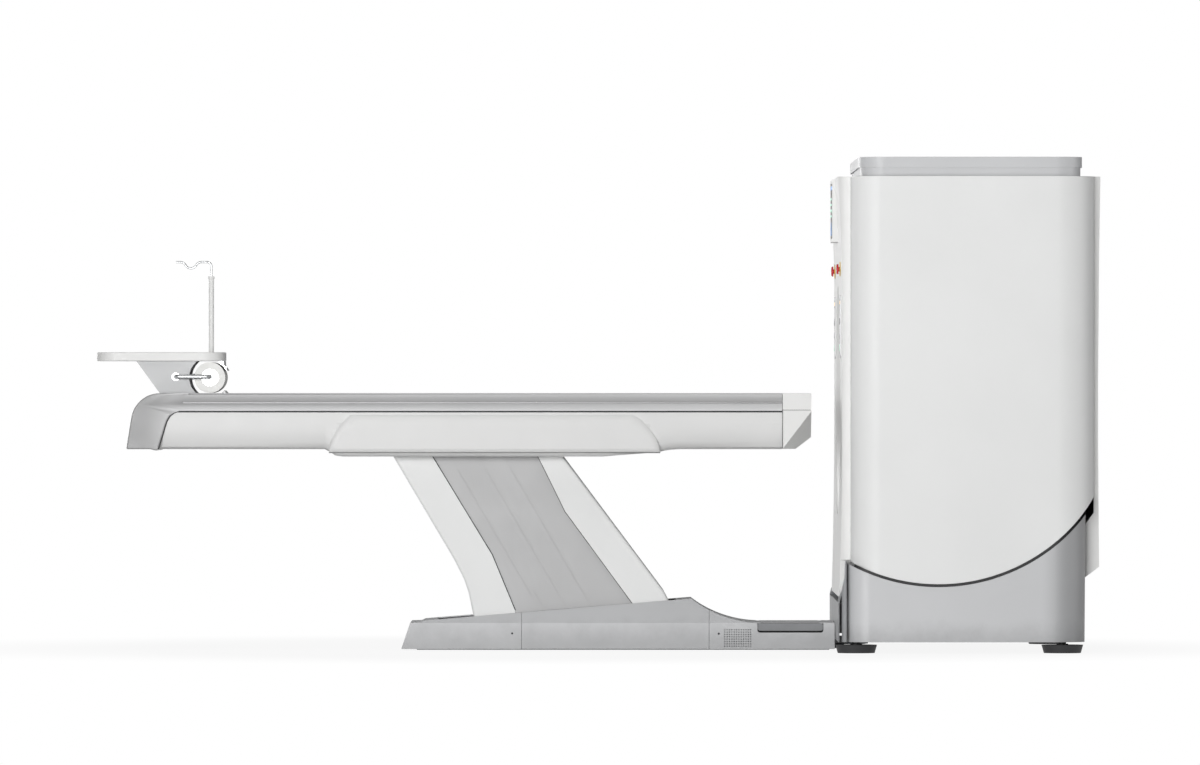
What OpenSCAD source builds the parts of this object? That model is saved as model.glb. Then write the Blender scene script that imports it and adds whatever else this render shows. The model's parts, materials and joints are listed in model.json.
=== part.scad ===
// Computed-tomography scanner: a tilting gantry and a patient table on a parallelogram lift.
// Millimetres, +Z up. X runs along the patient, from the foot of the table towards the back of
// the gantry. Every module is drawn from the isocentre's floor point and then placed by at_iso().

/* [Gantry covers] */
// Overall width of the gantry
gantry_w = 1960; // [1900:10:2040]
// Top of the gantry's white covers
covers_top = 1801; // [1780:1:1840]
// Top of the roof cap
cap_top = 1875; // [1860:1:1920]
// Diameter of the patient bore
bore_d = 700; // [680:5:720]
// Diameter of the front funnel's mouth
front_funnel_d = 880; // [840:5:900]
// Diameter of the rear funnel's mouth
rear_funnel_d = 900; // [860:5:920]
// Isocentre to the flat of the front cover
front_face = 361; // [350:1:370]
// Isocentre to the flat of the rear cover
rear_face = 607; // [600:1:620]
// Isocentre to the farthest edge of the flared rear cover
rear_reach = 616; // [612:1:630]
// How far the front cover's top edge stands proud of its flat
front_top_flare = 17; // [10:1:20]
// How far the front cover's lower edge stands proud of its flat
front_low_flare = 11; // [6:1:14]
// Thickness of the moulded covers
skin = 5; // [4:0.5:6]
// Radius of the side covers' front corners
front_corner_r = 115; // [80:5:130]
// Radius of the side covers' rear corners
rear_corner_r = 140; // [100:5:150]
// Isocentre to the front edge of the side covers
side_front = 330; // [325:1:335]
// Isocentre to the rear edge of the side covers
side_rear = 590; // [580:1:595]
// Radius of the side covers' round lower edge about the tilt axis
tilt_arc_r = 693; // [688:1:696]
// Gap between the tilting covers and the base covers
arc_gap = 7; // [6:1:9]

/* [Gantry base] */
// Height of the isocentre and the tilt axis above the floor
iso_h = 954; // [950:1:960]
// Underside of the gantry base above the floor
base_lift = 42; // [40:1:46]
// Isocentre to the front of the side base covers
base_front = 346; // [340:1:350]
// Isocentre to the rear of the side base covers
base_rear = 555; // [550:1:560]
// Width of each side base, measured inwards from the gantry's side
pillar_w = 130; // [120:2:134]
// Depth of the front base cover ahead of the side base covers
plinth_d = 32; // [26:1:34]
// Height of the front base cover in its low middle stretch
plinth_h = 192; // [184:1:194]
// Height of the front base cover's horns
horn_h = 348; // [330:1:350]
// Diameter of a levelling foot
foot_d = 158; // [140:2:170]
// Height of a levelling foot's pad
foot_h = 31; // [28:1:33]
// Diameter of the trunnion pins
trunnion_d = 90; // [80:2:100]
// Running clearance round pins and shafts
run_gap = 0.05; // [0.02:0.01:0.1]
// Seat gap between pieces that rest on each other
seat_gap = 0.3; // [0.1:0.1:0.5]

/* [Rotor] */
// Outside diameter of the rotor drum
rotor_d = 1440; // [1400:10:1460]
// Inside diameter of the rotor drum
rotor_bore_d = 740; // [730:2:760]
// Thickness of the drum's disc
rotor_disc_t = 24; // [18:1:30]
// Depth of the drum's rim
rotor_rim_w = 90; // [60:5:110]
// Isocentre to the back of the drum's disc
rotor_back = 60; // [50:1:70]
// Outside diameter of the main bearing
bearing_d = 1080; // [1040:5:1100]
// Width of the main bearing
bearing_w = 56; // [50:2:70]
// Spread of the detector arc in degrees
fan_angle = 52; // [46:1:56]
// Radius of the detector arc about the focal spot
detector_r = 1040; // [1020:5:1050]
// Isocentre to the focal spot
focus_r = 520; // [500:5:540]

/* [Patient table] */
// Top of the cradle above the floor with the table raised
table_h = 981; // [975:1:985]
// Overall width of the table top
table_w = 620; // [600:5:640]
// Isocentre to the tip of the table's nose
nose_reach = 469; // [465:1:480]
// Length of the nose block
nose_l = 111; // [100:1:120]
// Isocentre to the foot end of the table
foot_reach = 3090; // [3080:1:3120]
// Underside of the table's side covers above the floor
under_h = 767; // [760:1:775]
// Depth of the grey side band
band_h = 67; // [60:1:70]
// Depth of the bulge below the side covers
bulge_h = 28; // [20:1:30]
// Width of the cradle
cradle_w = 420; // [400:5:430]
// Thickness of the cradle
cradle_t = 38; // [30:1:42]
// Travel of the cradle into the bore
cradle_travel = 1700; // [1500:10:1750]
// Height of the accessory tray's underside above the floor
tray_h = 1104; // [1090:1:1120]
// Thickness of the accessory tray
tray_t = 34; // [28:1:38]
// Isocentre to the free end of the tray
tray_reach = 3206; // [3190:1:3220]
// Length of the tray
tray_l = 489; // [460:1:510]
// Width of the tray
tray_w = 400; // [360:5:420]
// Diameter of a paper roll
roll_d = 118; // [100:1:124]
// Diameter of the roll's hollow core
roll_core_d = 66; // [50:1:70]
// Diameter of the drip-stand tube
iv_tube_d = 20; // [18:0.5:24]
// Diameter of the drip-stand rod
iv_rod_d = 8; // [6:0.5:10]
// Height of the drip stand's tube top
iv_tube_top = 1421; // [1400:1:1440]
// Height of the hooks above the floor with the rod lowered
iv_hook_h = 1486; // [1470:1:1500]

/* [Lift] */
// Distance between an arm's two pivots
arm_l = 814; // [806:1:820]
// Lean of the raised arms from the vertical, in degrees
arm_lean = 30.25; // [29.5:0.25:31]
// Isocentre to the front arm's base pivot
front_pivot = 1083; // [1075:1:1090]
// Spacing of the two base pivots
pivot_pitch = 559; // [550:1:570]
// Height of the base pivots above the floor
pivot_h = 112; // [110:1:114]
// Diameter of the lift pivots
pivot_d = 40; // [36:1:44]
// Half width of the slot that the arms swing in
slot_half = 200; // [198:1:206]
// Half width of the arm covers
arm_cover_half = 194; // [192:1:195]
// Thickness of the side panels between the arms
panel_t = 2; // [1.5:0.25:2.25]

/* [Table base] */
// Isocentre to the foot end of the table base
tbase_reach = 2037; // [2030:1:2050]
// Height of the table base's skirt
skirt_h = 103; // [100:1:106]
// Half width of the table base
tbase_half = 300; // [290:5:320]
// Height of the ramp's peak
ramp_h = 195; // [190:1:200]
// Isocentre to the ramp's peak
ramp_peak = 928; // [920:1:935]
// Isocentre to the joint between the rear and middle base covers
seam_rear = 1577; // [1570:1:1585]
// Isocentre to the joint between the middle and front base covers
seam_front = 859; // [855:1:865]
// Length of a foot pedal
pedal_l = 248; // [220:1:255]
// Height of a foot pedal
pedal_h = 29; // [26:1:31]
// Diameter of one hole of the cooling grille
vent_d = 5; // [4:0.5:6]
// Pitch of the grille's holes
vent_pitch = 9; // [8.5:0.5:10]

/* [Hidden] */
$fn = 64;
fine = 128;
tiny = 0.01;
overcut = 10;

white = [0.92, 0.92, 0.92];
warm_white = [0.96, 0.96, 0.95];
base_grey = [0.76, 0.76, 0.77];
mid_grey = [0.62, 0.63, 0.64];
dark_grey = [0.32, 0.33, 0.34];
black = [0.08, 0.08, 0.09];
steel = [0.70, 0.71, 0.73];
cast = [0.45, 0.47, 0.50];
copper = [0.72, 0.48, 0.30];
red = [0.80, 0.10, 0.12];

// The row's origin is the middle of the overall length, so the isocentre stands off it
iso_x = (tray_reach - rear_reach) / 2;
half_w = gantry_w / 2;
pillar_in = half_w - pillar_w;
post_t = 60;

module at_iso() translate([iso_x, 0, 0]) children();
// Extrudes an XZ outline symmetrically about the middle plane
module across(width) rotate([90, 0, 0]) linear_extrude(width, center = true) children();
// The same outline between two distances from the middle plane, on the side given
module across_side(from, to, side)
  translate([0, side * (from + to) / 2, 0]) across(to - from) children();
// A cylinder along Y between the middle plane's two sides
module pin_y(x, z, r, width, y = 0)
  translate([x, y, z]) rotate([90, 0, 0]) cylinder(h = width, r = r, center = true, $fn = fine);
// A cylinder along X from a to b
module rod_x(a, b, r, y = 0, z = 0)
  translate([a, y, z]) rotate([0, 90, 0]) cylinder(h = b - a, r = r, $fn = fine);
// A rectangle with round corners
module round_rect(size, r) {
  translate([r, 0]) square([size[0] - 2 * r, size[1]]);
  translate([0, r]) square([size[0], size[1] - 2 * r]);
  for (x = [r, size[0] - r], y = [r, size[1] - r]) translate([x, y]) circle(r);
}
module box_between(a, b) translate(a) cube(b - a);

// ---------------------------------------------------------------- gantry base

beam_top = base_lift + 46;
post_head_r = trunnion_d / 2 + 42;
bearing_ring_r = trunnion_d / 2 + 28;
post_in = pillar_in + 10;
post_out = post_in + post_t;
foot_front = base_front - 37;
foot_rear = base_rear - 85;
foot_y = half_w - 100;
stem_r = 14.5;

// Outline of a post: it leans away from the sweep of the tilting front cover
module post_outline() difference() {
  union() {
    polygon([[-15, beam_top], [-15, iso_h - 690], [-70, iso_h - 590], [-70, iso_h],
      [70, iso_h], [110, iso_h - 400], [260, iso_h - 720], [260, beam_top]]);
    translate([0, iso_h]) circle(post_head_r, $fn = fine);
  }
  translate([0, iso_h]) circle(bearing_ring_r + seat_gap, $fn = fine);
  translate([120, iso_h - 600]) circle(60);
}

module gantry_base_frame() at_iso() color(cast) difference() {
  union() {
    for (side = [-1, 1]) {
      across_side(post_in, post_out, side) post_outline();
      across_side(post_in, half_w - 60, side)
        translate([-base_front + 12, base_lift + 4]) square([base_front + base_rear - 42, 42]);
      // Stand-offs of the side base cover
      for (x = [-140, 360]) box_between([x, side > 0 ? half_w - 61 : -half_w + skin + seat_gap, base_lift + 10],
        [x + 40, side > 0 ? half_w - skin - seat_gap : -half_w + 61, base_lift + 40]);
    }
    for (x = [-foot_front - 20, 120, foot_rear - 60])
      box_between([x, -post_in, base_lift + 4], [x + 80, post_in, beam_top]);
    // Tongue that the table base is bolted to
    box_between([-foot_front - 20, -90, base_lift - 22], [-foot_front + 60, 90, base_lift + 5]);
  }
  for (x = [-foot_front, foot_rear], side = [-1, 1])
    translate([x, side * foot_y, base_lift]) cylinder(h = 70, r = stem_r + seat_gap);
  for (x = anchor_x, y = [-anchor_y, anchor_y])
    translate([x, y, base_lift - overcut]) cylinder(h = 90, r = anchor_r);
}
anchor_x = [-foot_front + 90, foot_rear - 90];
anchor_y = 900;
anchor_r = 9;

// Plan of a side base cover, set in from the outside by inset
module pillar_plan(inset) {
  front_r = 90;
  rear_r = 120;
  intersection() {
    translate([-base_front + inset, pillar_in + inset])
      square([base_front + base_rear - 2 * inset, pillar_w - 2 * inset]);
    union() {
      translate([-base_front + front_r, half_w - front_r]) circle(front_r - inset, $fn = fine);
      translate([base_rear - rear_r, half_w - rear_r]) circle(rear_r - inset, $fn = fine);
      translate([-base_front + front_r, pillar_in + inset])
        square([base_front + base_rear - front_r - rear_r, pillar_w - 2 * inset]);
      translate([-base_front + inset, pillar_in + inset])
        square([base_front + base_rear - 2 * inset, pillar_w - inset - rear_r]);
      translate([-base_front + inset, pillar_in + inset])
        square([front_r, pillar_w - inset - front_r]);
    }
  }
}
module side_base_cover() difference() {
  translate([0, 0, base_lift]) linear_extrude(iso_h - base_lift - 400) pillar_plan(0);
  difference() {
    translate([0, 0, base_lift - overcut]) linear_extrude(iso_h - base_lift) pillar_plan(skin);
    translate([0, 0, iso_h]) rotate([90, 0, 0])
      cylinder(h = 3 * gantry_w, r = tilt_arc_r + arc_gap + skin, center = true, $fn = fine);
  }
  translate([0, 0, iso_h]) rotate([90, 0, 0])
    cylinder(h = 3 * gantry_w, r = tilt_arc_r + arc_gap, center = true, $fn = 2 * fine);
  // Rebate that the front cover's lower corner sweeps through
  translate([0, pillar_in - 1, iso_h]) rotate([-90, 0, 0])
    cylinder(h = 10, r = tilt_arc_r + 2 * arc_gap, $fn = 2 * fine);
  // Opening in the top for the post, and in the inner wall for the cross beams
  box_between([-24, post_in - 5, base_lift], [285, post_out + 5, iso_h]);
  box_between([-base_front + 14, 0, base_lift - overcut], [base_rear - 20, pillar_in + 8, beam_top + 4]);
}
module base_cover_left() at_iso() color(base_grey) side_base_cover();
module base_cover_right() at_iso() color(base_grey) mirror([0, 1, 0]) side_base_cover();

// Side view of the front base cover: upright below, drawn back to a thin lip at the horns' tips
module plinth_profile(inset) polygon([[-base_front - seat_gap + 2 * inset, base_lift - inset],
  [-base_front - plinth_d + inset, base_lift - inset],
  [-base_front - plinth_d + inset, plinth_h + 3 - inset],
  [-base_front - 27 + inset, plinth_h + 24 - inset], [-base_front - 18 + inset, plinth_h + 42 - inset],
  [-base_front - 7 + inset, plinth_h + 91 - inset],
  [-base_front - 4 + inset, horn_h - inset], [-base_front - seat_gap + 2 * inset, horn_h - inset]]);
module base_cover_front() at_iso() color(mid_grey) difference() {
  intersection() {
    across(gantry_w) plinth_profile(0);
    front_elevation(0);
    translate([-base_front - plinth_d, -half_w + 25, 0]) linear_extrude(iso_h)
      round_rect([3 * plinth_d, gantry_w - 50], plinth_d - 2);
  }
  intersection() {
    across(gantry_w) plinth_profile(skin);
    front_elevation(skin);
  }
}
// Front view of the same cover: low between the side bases, with a horn at each end
module front_elevation(inset) rotate([90, 0, -90]) linear_extrude(2 * base_front, center = false)
  difference() {
    translate([-half_w + 25 + inset, base_lift - 2 * inset])
      square([gantry_w - 50 - 2 * inset, horn_h - base_lift + inset]);
    translate([-pillar_in + 2 - inset, plinth_h - inset])
      round_rect([2 * (pillar_in - 2 + inset), iso_h], 20);
  }

// As high as the tilting rear cover's lower edge allows
rear_panel_top = iso_h - sqrt(pow(880, 2) - pow(base_rear - 20, 2));
module base_panel_rear() at_iso() color(base_grey) difference() {
  box_between([base_rear - 20, -pillar_in + seat_gap, base_lift], [base_rear, pillar_in - seat_gap, rear_panel_top]);
  box_between([base_rear - 20 - overcut, -pillar_in + 6, base_lift - overcut],
    [base_rear - skin, pillar_in - 6, rear_panel_top - 5]);
  // Cable entry
  translate([base_rear, 0, base_lift + 30]) rotate([0, 90, 0])
    cylinder(h = 60, r = 24, center = true);
}

module gantry_feet() at_iso() color(black)
  for (x = [-foot_front, foot_rear], side = [-1, 1]) translate([x, side * foot_y, 0]) {
    rotate_extrude($fn = fine) polygon([[0, 0], [foot_d / 2 - 9, 0], [foot_d / 2, foot_h],
      [stem_r + 8, foot_h], [stem_r + 8, foot_h + 4], [stem_r, foot_h + 4],
      [stem_r, beam_top - 4], [0, beam_top - 4]]);
  }

module trunnion_bearings() at_iso() color(steel)
  for (side = [-1, 1]) translate([0, side * (post_in + post_t / 2), iso_h]) rotate([90, 0, 0])
    difference() {
      cylinder(h = post_t, r = bearing_ring_r, center = true, $fn = fine);
      cylinder(h = post_t + 1, r = trunnion_d / 2 + run_gap, center = true, $fn = fine);
    }

// ---------------------------------------------------------------- tilting gantry

plate_x = rotor_back + bearing_w + 6;
plate_t = 24;
cheek_out = pillar_in - 12;
apron_half = pillar_in - 14;
apron_low = plinth_h + 18;
belly_z = plinth_h + 13;
liner_r = bore_d / 2;
funnel_l = 130;
liner_front = -front_face + funnel_l;
rear_funnel_l = 175;
liner_rear = rear_face - rear_funnel_l;
front_half = half_w - front_corner_r;
rear_half = half_w - rear_corner_r;
standoff_r = 14;
standoff_y = 770;
standoff_z = [iso_h - 590, iso_h + 640];
// Heights between which the front cover is flat, and where the rear cover's flare starts
flat_top = 1336;
flat_foot = 880;
rear_flat_top = 930;
top_flare_r = pow(covers_top - flat_top, 2) / (2 * front_top_flare);
low_flare_r = pow(flat_foot - apron_low, 2) / (2 * front_low_flare);

module tilt_frame() at_iso() color(cast) {
  difference() {
    translate([plate_x, 0, iso_h]) rotate([90, 0, 90]) linear_extrude(plate_t) difference() {
      translate([-cheek_out + 20, -640]) round_rect([2 * cheek_out - 40, 1400], 120);
      circle(bearing_d / 2 - 60, $fn = fine);
      for (a = [45:90:315]) rotate(a) translate([bearing_d / 2 + 190, 0]) circle(70);
      for (a = [0:15:345]) rotate(a) translate([bearing_d / 2 - 25, 0]) circle(7);
    }
  }
  for (side = [-1, 1]) {
    across_side(cheek_out - 30, cheek_out, side) translate([0, iso_h]) {
      circle(130, $fn = fine);
      translate([0, -130]) square([plate_x + plate_t, 260]);
    }
    pin_y(0, iso_h, trunnion_d / 2, post_out + 6 - cheek_out, side * (cheek_out + post_out + 6) / 2);
    // Roof beams that carry the side covers
    box_between([plate_x - 60, side > 0 ? 600 : -half_w + skin + seat_gap, iso_h + 690],
      [plate_x, side > 0 ? half_w - skin - seat_gap : -600, iso_h + 740]);
  }
  for (y = [-standoff_y, standoff_y], z = standoff_z) {
    rod_x(-front_face + skin + seat_gap, plate_x, standoff_r, y, z);
    rod_x(plate_x + plate_t, rear_face - skin - seat_gap, standoff_r, y, z);
  }
}

// Side view of the front cover, bowed between its flat and its two proud edges
module front_profile(inset) difference() {
  translate([-front_face - 20, apron_low + inset])
    square([front_face + 20 - side_front, covers_top - apron_low - 2 * inset]);
  translate([-front_face - top_flare_r + inset, flat_top]) intersection() {
    circle(top_flare_r, $fn = 1440);
    square([2 * top_flare_r, 2 * top_flare_r]);
  }
  translate([-front_face - low_flare_r + inset, flat_foot]) intersection() {
    circle(low_flare_r, $fn = 2880);
    translate([0, -2 * low_flare_r]) square([2 * low_flare_r, 2 * low_flare_r]);
  }
  translate([-front_face - 40, flat_foot]) square([40 + inset, flat_top - flat_foot]);
}
// Front view: full width above the side bases, narrower between them
module front_shape(inset) {
  translate([-apron_half + inset, apron_low + inset])
    round_rect([2 * (apron_half - inset), 600], 40);
  translate([-front_half + inset, horn_h + 4 + inset])
    square([2 * (front_half - inset), covers_top - horn_h - 4 - 2 * inset]);
}
module front_block(inset, reach) intersection() {
  across(gantry_w) front_profile(inset);
  translate([-base_front - 200, 0, 0]) rotate([90, 0, 90]) linear_extrude(200 + base_front - side_front + reach)
    front_shape(inset);
  translate([-front_face - 20 + inset, -front_half + inset, 0]) linear_extrude(cap_top)
    round_rect([200, 2 * (front_half - inset)], 50 - inset);
}
module front_cover() at_iso() color(warm_white) {
  difference() {
    front_block(0, 0);
    front_block(skin, 1);
    rod_x(-2 * front_face, 0, front_funnel_d / 2 - 1, 0, iso_h);
    // Window of the display
    box_between([-2 * front_face, -display_w / 2 - seat_gap, display_z - seat_gap],
      [0, display_w / 2 + seat_gap, covers_top + overcut]);
    for (side = [-1, 1]) rod_x(-2 * front_face, 0, stop_stem_r + 3, side * stop_y, stop_z);
  }
  // Funnel into the bore
  translate([-front_face, 0, iso_h]) rotate([0, 90, 0]) rotate_extrude($fn = fine) difference() {
    polygon([[front_funnel_d / 2, 0], [liner_r + 62, 12], [liner_r + 26, 44], [liner_r + 8, 88],
      [liner_r, funnel_l], [liner_r + skin, funnel_l], [liner_r + 8 + skin, 88],
      [liner_r + 26 + skin, 44 + skin], [liner_r + 62, 12 + skin], [front_funnel_d / 2, skin]]);
  }
}
display_w = 420;
display_z = 1560;

// Side view of the rear cover: shallow above, deep and chamfered below the side covers
module rear_profile(inset) {
  flare_r = pow(covers_top - rear_flat_top, 2) / (2 * (rear_reach - rear_face));
  difference() {
    polygon([[side_rear - 40 * inset, covers_top - inset], [rear_reach + 20, covers_top - inset],
      [rear_reach + 20, 283 + inset], [rear_reach - inset, 283 + inset],
      [rear_reach - inset, 329 + inset / 2], [base_rear, 283 + inset], [base_rear - 40 * inset, 283 + inset],
      [base_rear - 40 * inset, 480], [base_rear, 480], [side_rear, 530], [side_rear - 40 * inset, 530]]);
    translate([rear_face + flare_r - inset, rear_flat_top]) circle(flare_r, $fn = 2880);
    translate([rear_reach - inset, 0]) square([100, covers_top + 1]);
  }
}
module rear_shape(inset) {
  translate([-apron_half + inset, 283]) square([2 * (apron_half - inset), 300]);
  translate([-rear_half + inset, 530]) square([2 * (rear_half - inset), covers_top - 530 + 1]);
}
module rear_cover() at_iso() color(warm_white) {
  difference() {
    intersection() {
      across(gantry_w) rear_profile(0);
      rotate([90, 0, 90]) linear_extrude(rear_reach + 1) rear_shape(0);
    }
    intersection() {
      across(gantry_w) rear_profile(skin);
      rotate([90, 0, 90]) linear_extrude(rear_reach + 1) rear_shape(skin);
    }
    rod_x(0, 2 * rear_reach, rear_funnel_d / 2 - 1, 0, iso_h);
    for (side = [-1, 1]) rod_x(0, 2 * rear_reach, well_r, side * stop_y, stop_z);
  }
  // Wells of the stop buttons
  for (side = [-1, 1]) difference() {
    rod_x(rear_stop_x - 3, rear_face + 2, well_r + 3, side * stop_y, stop_z);
    rod_x(rear_stop_x, rear_reach, well_r, side * stop_y, stop_z);
    rod_x(0, rear_reach, stop_stem_r + 3, side * stop_y, stop_z);
  }
  translate([rear_face, 0, iso_h]) rotate([0, -90, 0]) rotate_extrude($fn = fine)
    polygon([[rear_funnel_d / 2, 0], [liner_r + 70, 14], [liner_r + 30, 54], [liner_r + 9, 110],
      [liner_r, rear_funnel_l], [liner_r + skin, rear_funnel_l], [liner_r + 9 + skin, 110],
      [liner_r + 30 + skin, 54 + skin], [liner_r + 70, 14 + skin], [rear_funnel_d / 2, skin]]);
}

// Plan of a side cover: a C wrapped round the gantry's side
module side_plan(inset) intersection() {
  translate([-side_front, rear_half - 60]) square([side_front + side_rear, half_w]);
  union() {
    translate([-side_front + front_corner_r, front_half]) circle(front_corner_r - inset, $fn = fine);
    translate([side_rear - rear_corner_r, rear_half]) circle(rear_corner_r - inset, $fn = fine);
    translate([-side_front + front_corner_r, 0])
      square([side_front + side_rear - front_corner_r - rear_corner_r, half_w - inset]);
    translate([-side_front + inset, 0]) square([front_corner_r, front_half]);
    translate([side_rear - rear_corner_r, 0]) square([rear_corner_r - inset, rear_half]);
  }
}
module side_cover() difference() {
  translate([0, 0, iso_h - tilt_arc_r]) linear_extrude(covers_top - iso_h + tilt_arc_r) side_plan(0);
  translate([0, 0, 0]) linear_extrude(covers_top - skin) side_plan(skin);
  // Open towards the gantry's middle
  box_between([-2 * side_front, 0, 0], [-side_front + front_corner_r, front_half + seat_gap, cap_top]);
  box_between([side_rear - rear_corner_r, 0, 0], [2 * side_rear, rear_half + seat_gap, cap_top]);
  box_between([-side_front - 1, 0, 0], [side_rear + 1, rear_half + seat_gap, cap_top]);
  // Round lower edge about the tilt axis
  difference() {
    box_between([-2 * side_front, 0, -1], [2 * side_rear, gantry_w, iso_h]);
    translate([0, 0, iso_h]) rotate([90, 0, 0])
      cylinder(h = 3 * gantry_w, r = tilt_arc_r, center = true, $fn = 2 * fine);
  }
}
module side_cover_left() at_iso() color(white) side_cover();
module side_cover_right() at_iso() color(white) mirror([0, 1, 0]) side_cover();

cap_front = 300;
cap_rear = 547;
cap_half = 905;
cap_band = 34;
module cap_plan(inset) translate([-cap_front + inset, -cap_half + inset])
  round_rect([cap_front + cap_rear - 2 * inset, 2 * (cap_half - inset)], 100 - inset);
module roof_cap() at_iso() color(base_grey) difference() {
  union() {
    translate([-side_front + seat_gap, -rear_half + seat_gap, covers_top - skin])
      cube([side_front + side_rear - 2 * seat_gap, 2 * (rear_half - seat_gap), skin + seat_gap]);
    translate([0, 0, covers_top + seat_gap]) linear_extrude(cap_band) cap_plan(6);
    translate([0, 0, covers_top + cap_band]) linear_extrude(cap_top - covers_top - cap_band) cap_plan(0);
  }
  translate([0, 0, covers_top - 2 * skin]) linear_extrude(cap_top - covers_top + skin) cap_plan(6 + skin);
  // Warm-air slots in the back of the recessed band
  for (i = [-9:9]) translate([cap_rear, i * 64, covers_top + cap_band / 2]) cube([60, 44, 14], center = true);
}

module bore_liner() at_iso() color(warm_white) translate([liner_front + seat_gap, 0, iso_h])
  rotate([0, 90, 0]) difference() {
    cylinder(h = liner_rear - liner_front - 2 * seat_gap, r = liner_r + skin, $fn = fine);
    translate([0, 0, -1]) cylinder(h = 2 * base_rear, r = liner_r, $fn = fine);
  }

module belly_cover() at_iso() color(base_grey) difference() {
  across(2 * apron_half - 2) polygon([[-side_front + seat_gap, belly_z], [300, belly_z],
    [base_rear - 1, 283], [base_rear - 1, 340], [-side_front + seat_gap, 340]]);
  across(2 * apron_half - 2 - 2 * skin) polygon([[-2 * front_face, belly_z + skin],
    [300 - 1, belly_z + skin], [base_rear - 1, 283 + skin], [2 * base_rear, 283 + skin],
    [2 * base_rear, 341], [-2 * front_face, 341]]);
}

module display() at_iso() color(dark_grey) difference() {
  translate([-front_face - 27, -display_w / 2, display_z]) cube([32, display_w, covers_top - display_z - 2]);
  // Shallow recess of the screen
  translate([-front_face - 28, -display_w / 2 + 12, display_z + 14]) cube([3, display_w - 24, 212]);
}

panel_y = 560;
panel_w = 130;
module control_plate(z) difference() {
  rotate([90, 0, 90]) linear_extrude(4) translate([panel_y - panel_w / 2, z]) round_rect([panel_w, 240], 16);
  // Recess of the position read-out
  box_between([-1, panel_y - 50, z + 196], [1.5, panel_y + 50, z + 226]);
  // Key wells
  for (r = [0:2], c = [-1:1]) translate([-1, panel_y + c * 36, z + 40 + r * 50]) rotate([0, 90, 0])
    cylinder(h = 2, r = 13);
}
front_keys_z = 1115;
rear_keys_z = 1104;
// How far the rear cover's surface has flared out at height z
function rear_flare(z) = (rear_reach - rear_face) * pow((z - rear_flat_top) / (covers_top - rear_flat_top), 2);
module control_panels() at_iso() color(warm_white) for (side = [0, 1]) mirror([0, side, 0]) {
  translate([-front_face - 4 - seat_gap, 0, 0]) control_plate(front_keys_z);
  translate([rear_face + 4 + rear_flare(rear_keys_z + 240) + seat_gap, 0, 0]) mirror([1, 0, 0])
    control_plate(rear_keys_z);
}

stop_z = 1453;
stop_y = 560;
collar_r = 27;
stop_r = 19.5;
stop_stem_r = 9;
stop_travel = 4;
front_stop_x = -front_face - pow(stop_z + collar_r - flat_top, 2) / (2 * top_flare_r);
// The rear buttons sit in wells, behind the cover's farthest edge
stop_well = 13;
well_r = 32;
rear_stop_x = rear_face + 4 - stop_well;
// Collar of a stop button, its seat at x = 0 and its button towards -x
module stop_collar() rotate([0, -90, 0]) difference() {
  cylinder(h = 3, r = collar_r);
  translate([0, 0, -1]) cylinder(h = 6, r = stop_stem_r + run_gap, $fn = fine);
}
module stop_button() rotate([0, -90, 0]) rotate_extrude($fn = fine)
  polygon([[0, -12], [stop_stem_r, -12], [stop_stem_r, 3 + stop_travel], [stop_r, 3 + stop_travel],
    [stop_r, 8 + stop_travel], [stop_r - 3, 11 + stop_travel], [0, 12 + stop_travel]]);
module stop_housings() at_iso() color([0.9, 0.75, 0.15]) for (side = [-1, 1]) {
  translate([front_stop_x - seat_gap, side * stop_y, stop_z]) stop_collar();
  translate([rear_stop_x + seat_gap, side * stop_y, stop_z]) mirror([1, 0, 0]) stop_collar();
}
module stop_front_left() at_iso() color(red) translate([front_stop_x - seat_gap, stop_y, stop_z])
  stop_button();
module stop_front_right() at_iso() color(red) translate([front_stop_x - seat_gap, -stop_y, stop_z])
  stop_button();
module stop_rear_left() at_iso() color(red) translate([rear_stop_x + seat_gap, stop_y, stop_z])
  mirror([1, 0, 0]) stop_button();
module stop_rear_right() at_iso() color(red) translate([rear_stop_x + seat_gap, -stop_y, stop_z])
  mirror([1, 0, 0]) stop_button();

// ---------------------------------------------------------------- rotor and its drive

race_split_r = bearing_d / 2 - 60;
rotor_r = rotor_d / 2;
rotor_bore_r = rotor_bore_d / 2;
disc_front = rotor_back - rotor_disc_t;

module main_bearing() at_iso() color(steel) translate([plate_x - seat_gap - bearing_w, 0, iso_h]) rotate([0, 90, 0])
  difference() {
    cylinder(h = bearing_w, r = bearing_d / 2, $fn = fine);
    translate([0, 0, -1]) cylinder(h = bearing_w + 2, r = race_split_r, $fn = fine);
    for (a = [0:15:345]) rotate(a) translate([bearing_d / 2 - 25, 0, -1]) cylinder(h = bearing_w + 2, r = 7);
  }

module rotor_drum() at_iso() color([0.62, 0.66, 0.72]) translate([disc_front, 0, iso_h]) rotate([0, 90, 0])
  difference() {
    union() {
      cylinder(h = rotor_disc_t, r = rotor_r, $fn = fine);
      translate([0, 0, -rotor_rim_w]) cylinder(h = rotor_rim_w + tiny, r = rotor_r, $fn = fine);
      // Hub that is the inner race of the bearing
      translate([0, 0, rotor_disc_t - tiny])
        cylinder(h = bearing_w, r = race_split_r - seat_gap, $fn = fine);
    }
    translate([0, 0, -rotor_rim_w - 1]) cylinder(h = rotor_rim_w + 1, r = rotor_r - 16, $fn = fine);
    translate([0, 0, -rotor_rim_w - 1]) cylinder(h = 4 * rotor_rim_w, r = rotor_bore_r, $fn = fine);
    translate([0, 0, rotor_disc_t + 10]) cylinder(h = bearing_w, r = race_split_r - 60, $fn = fine);
    for (a = [0:30:330]) rotate(a) translate([rotor_r - 60, 0, -1]) cylinder(h = rotor_disc_t + 2, r = 12);
  }

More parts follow.
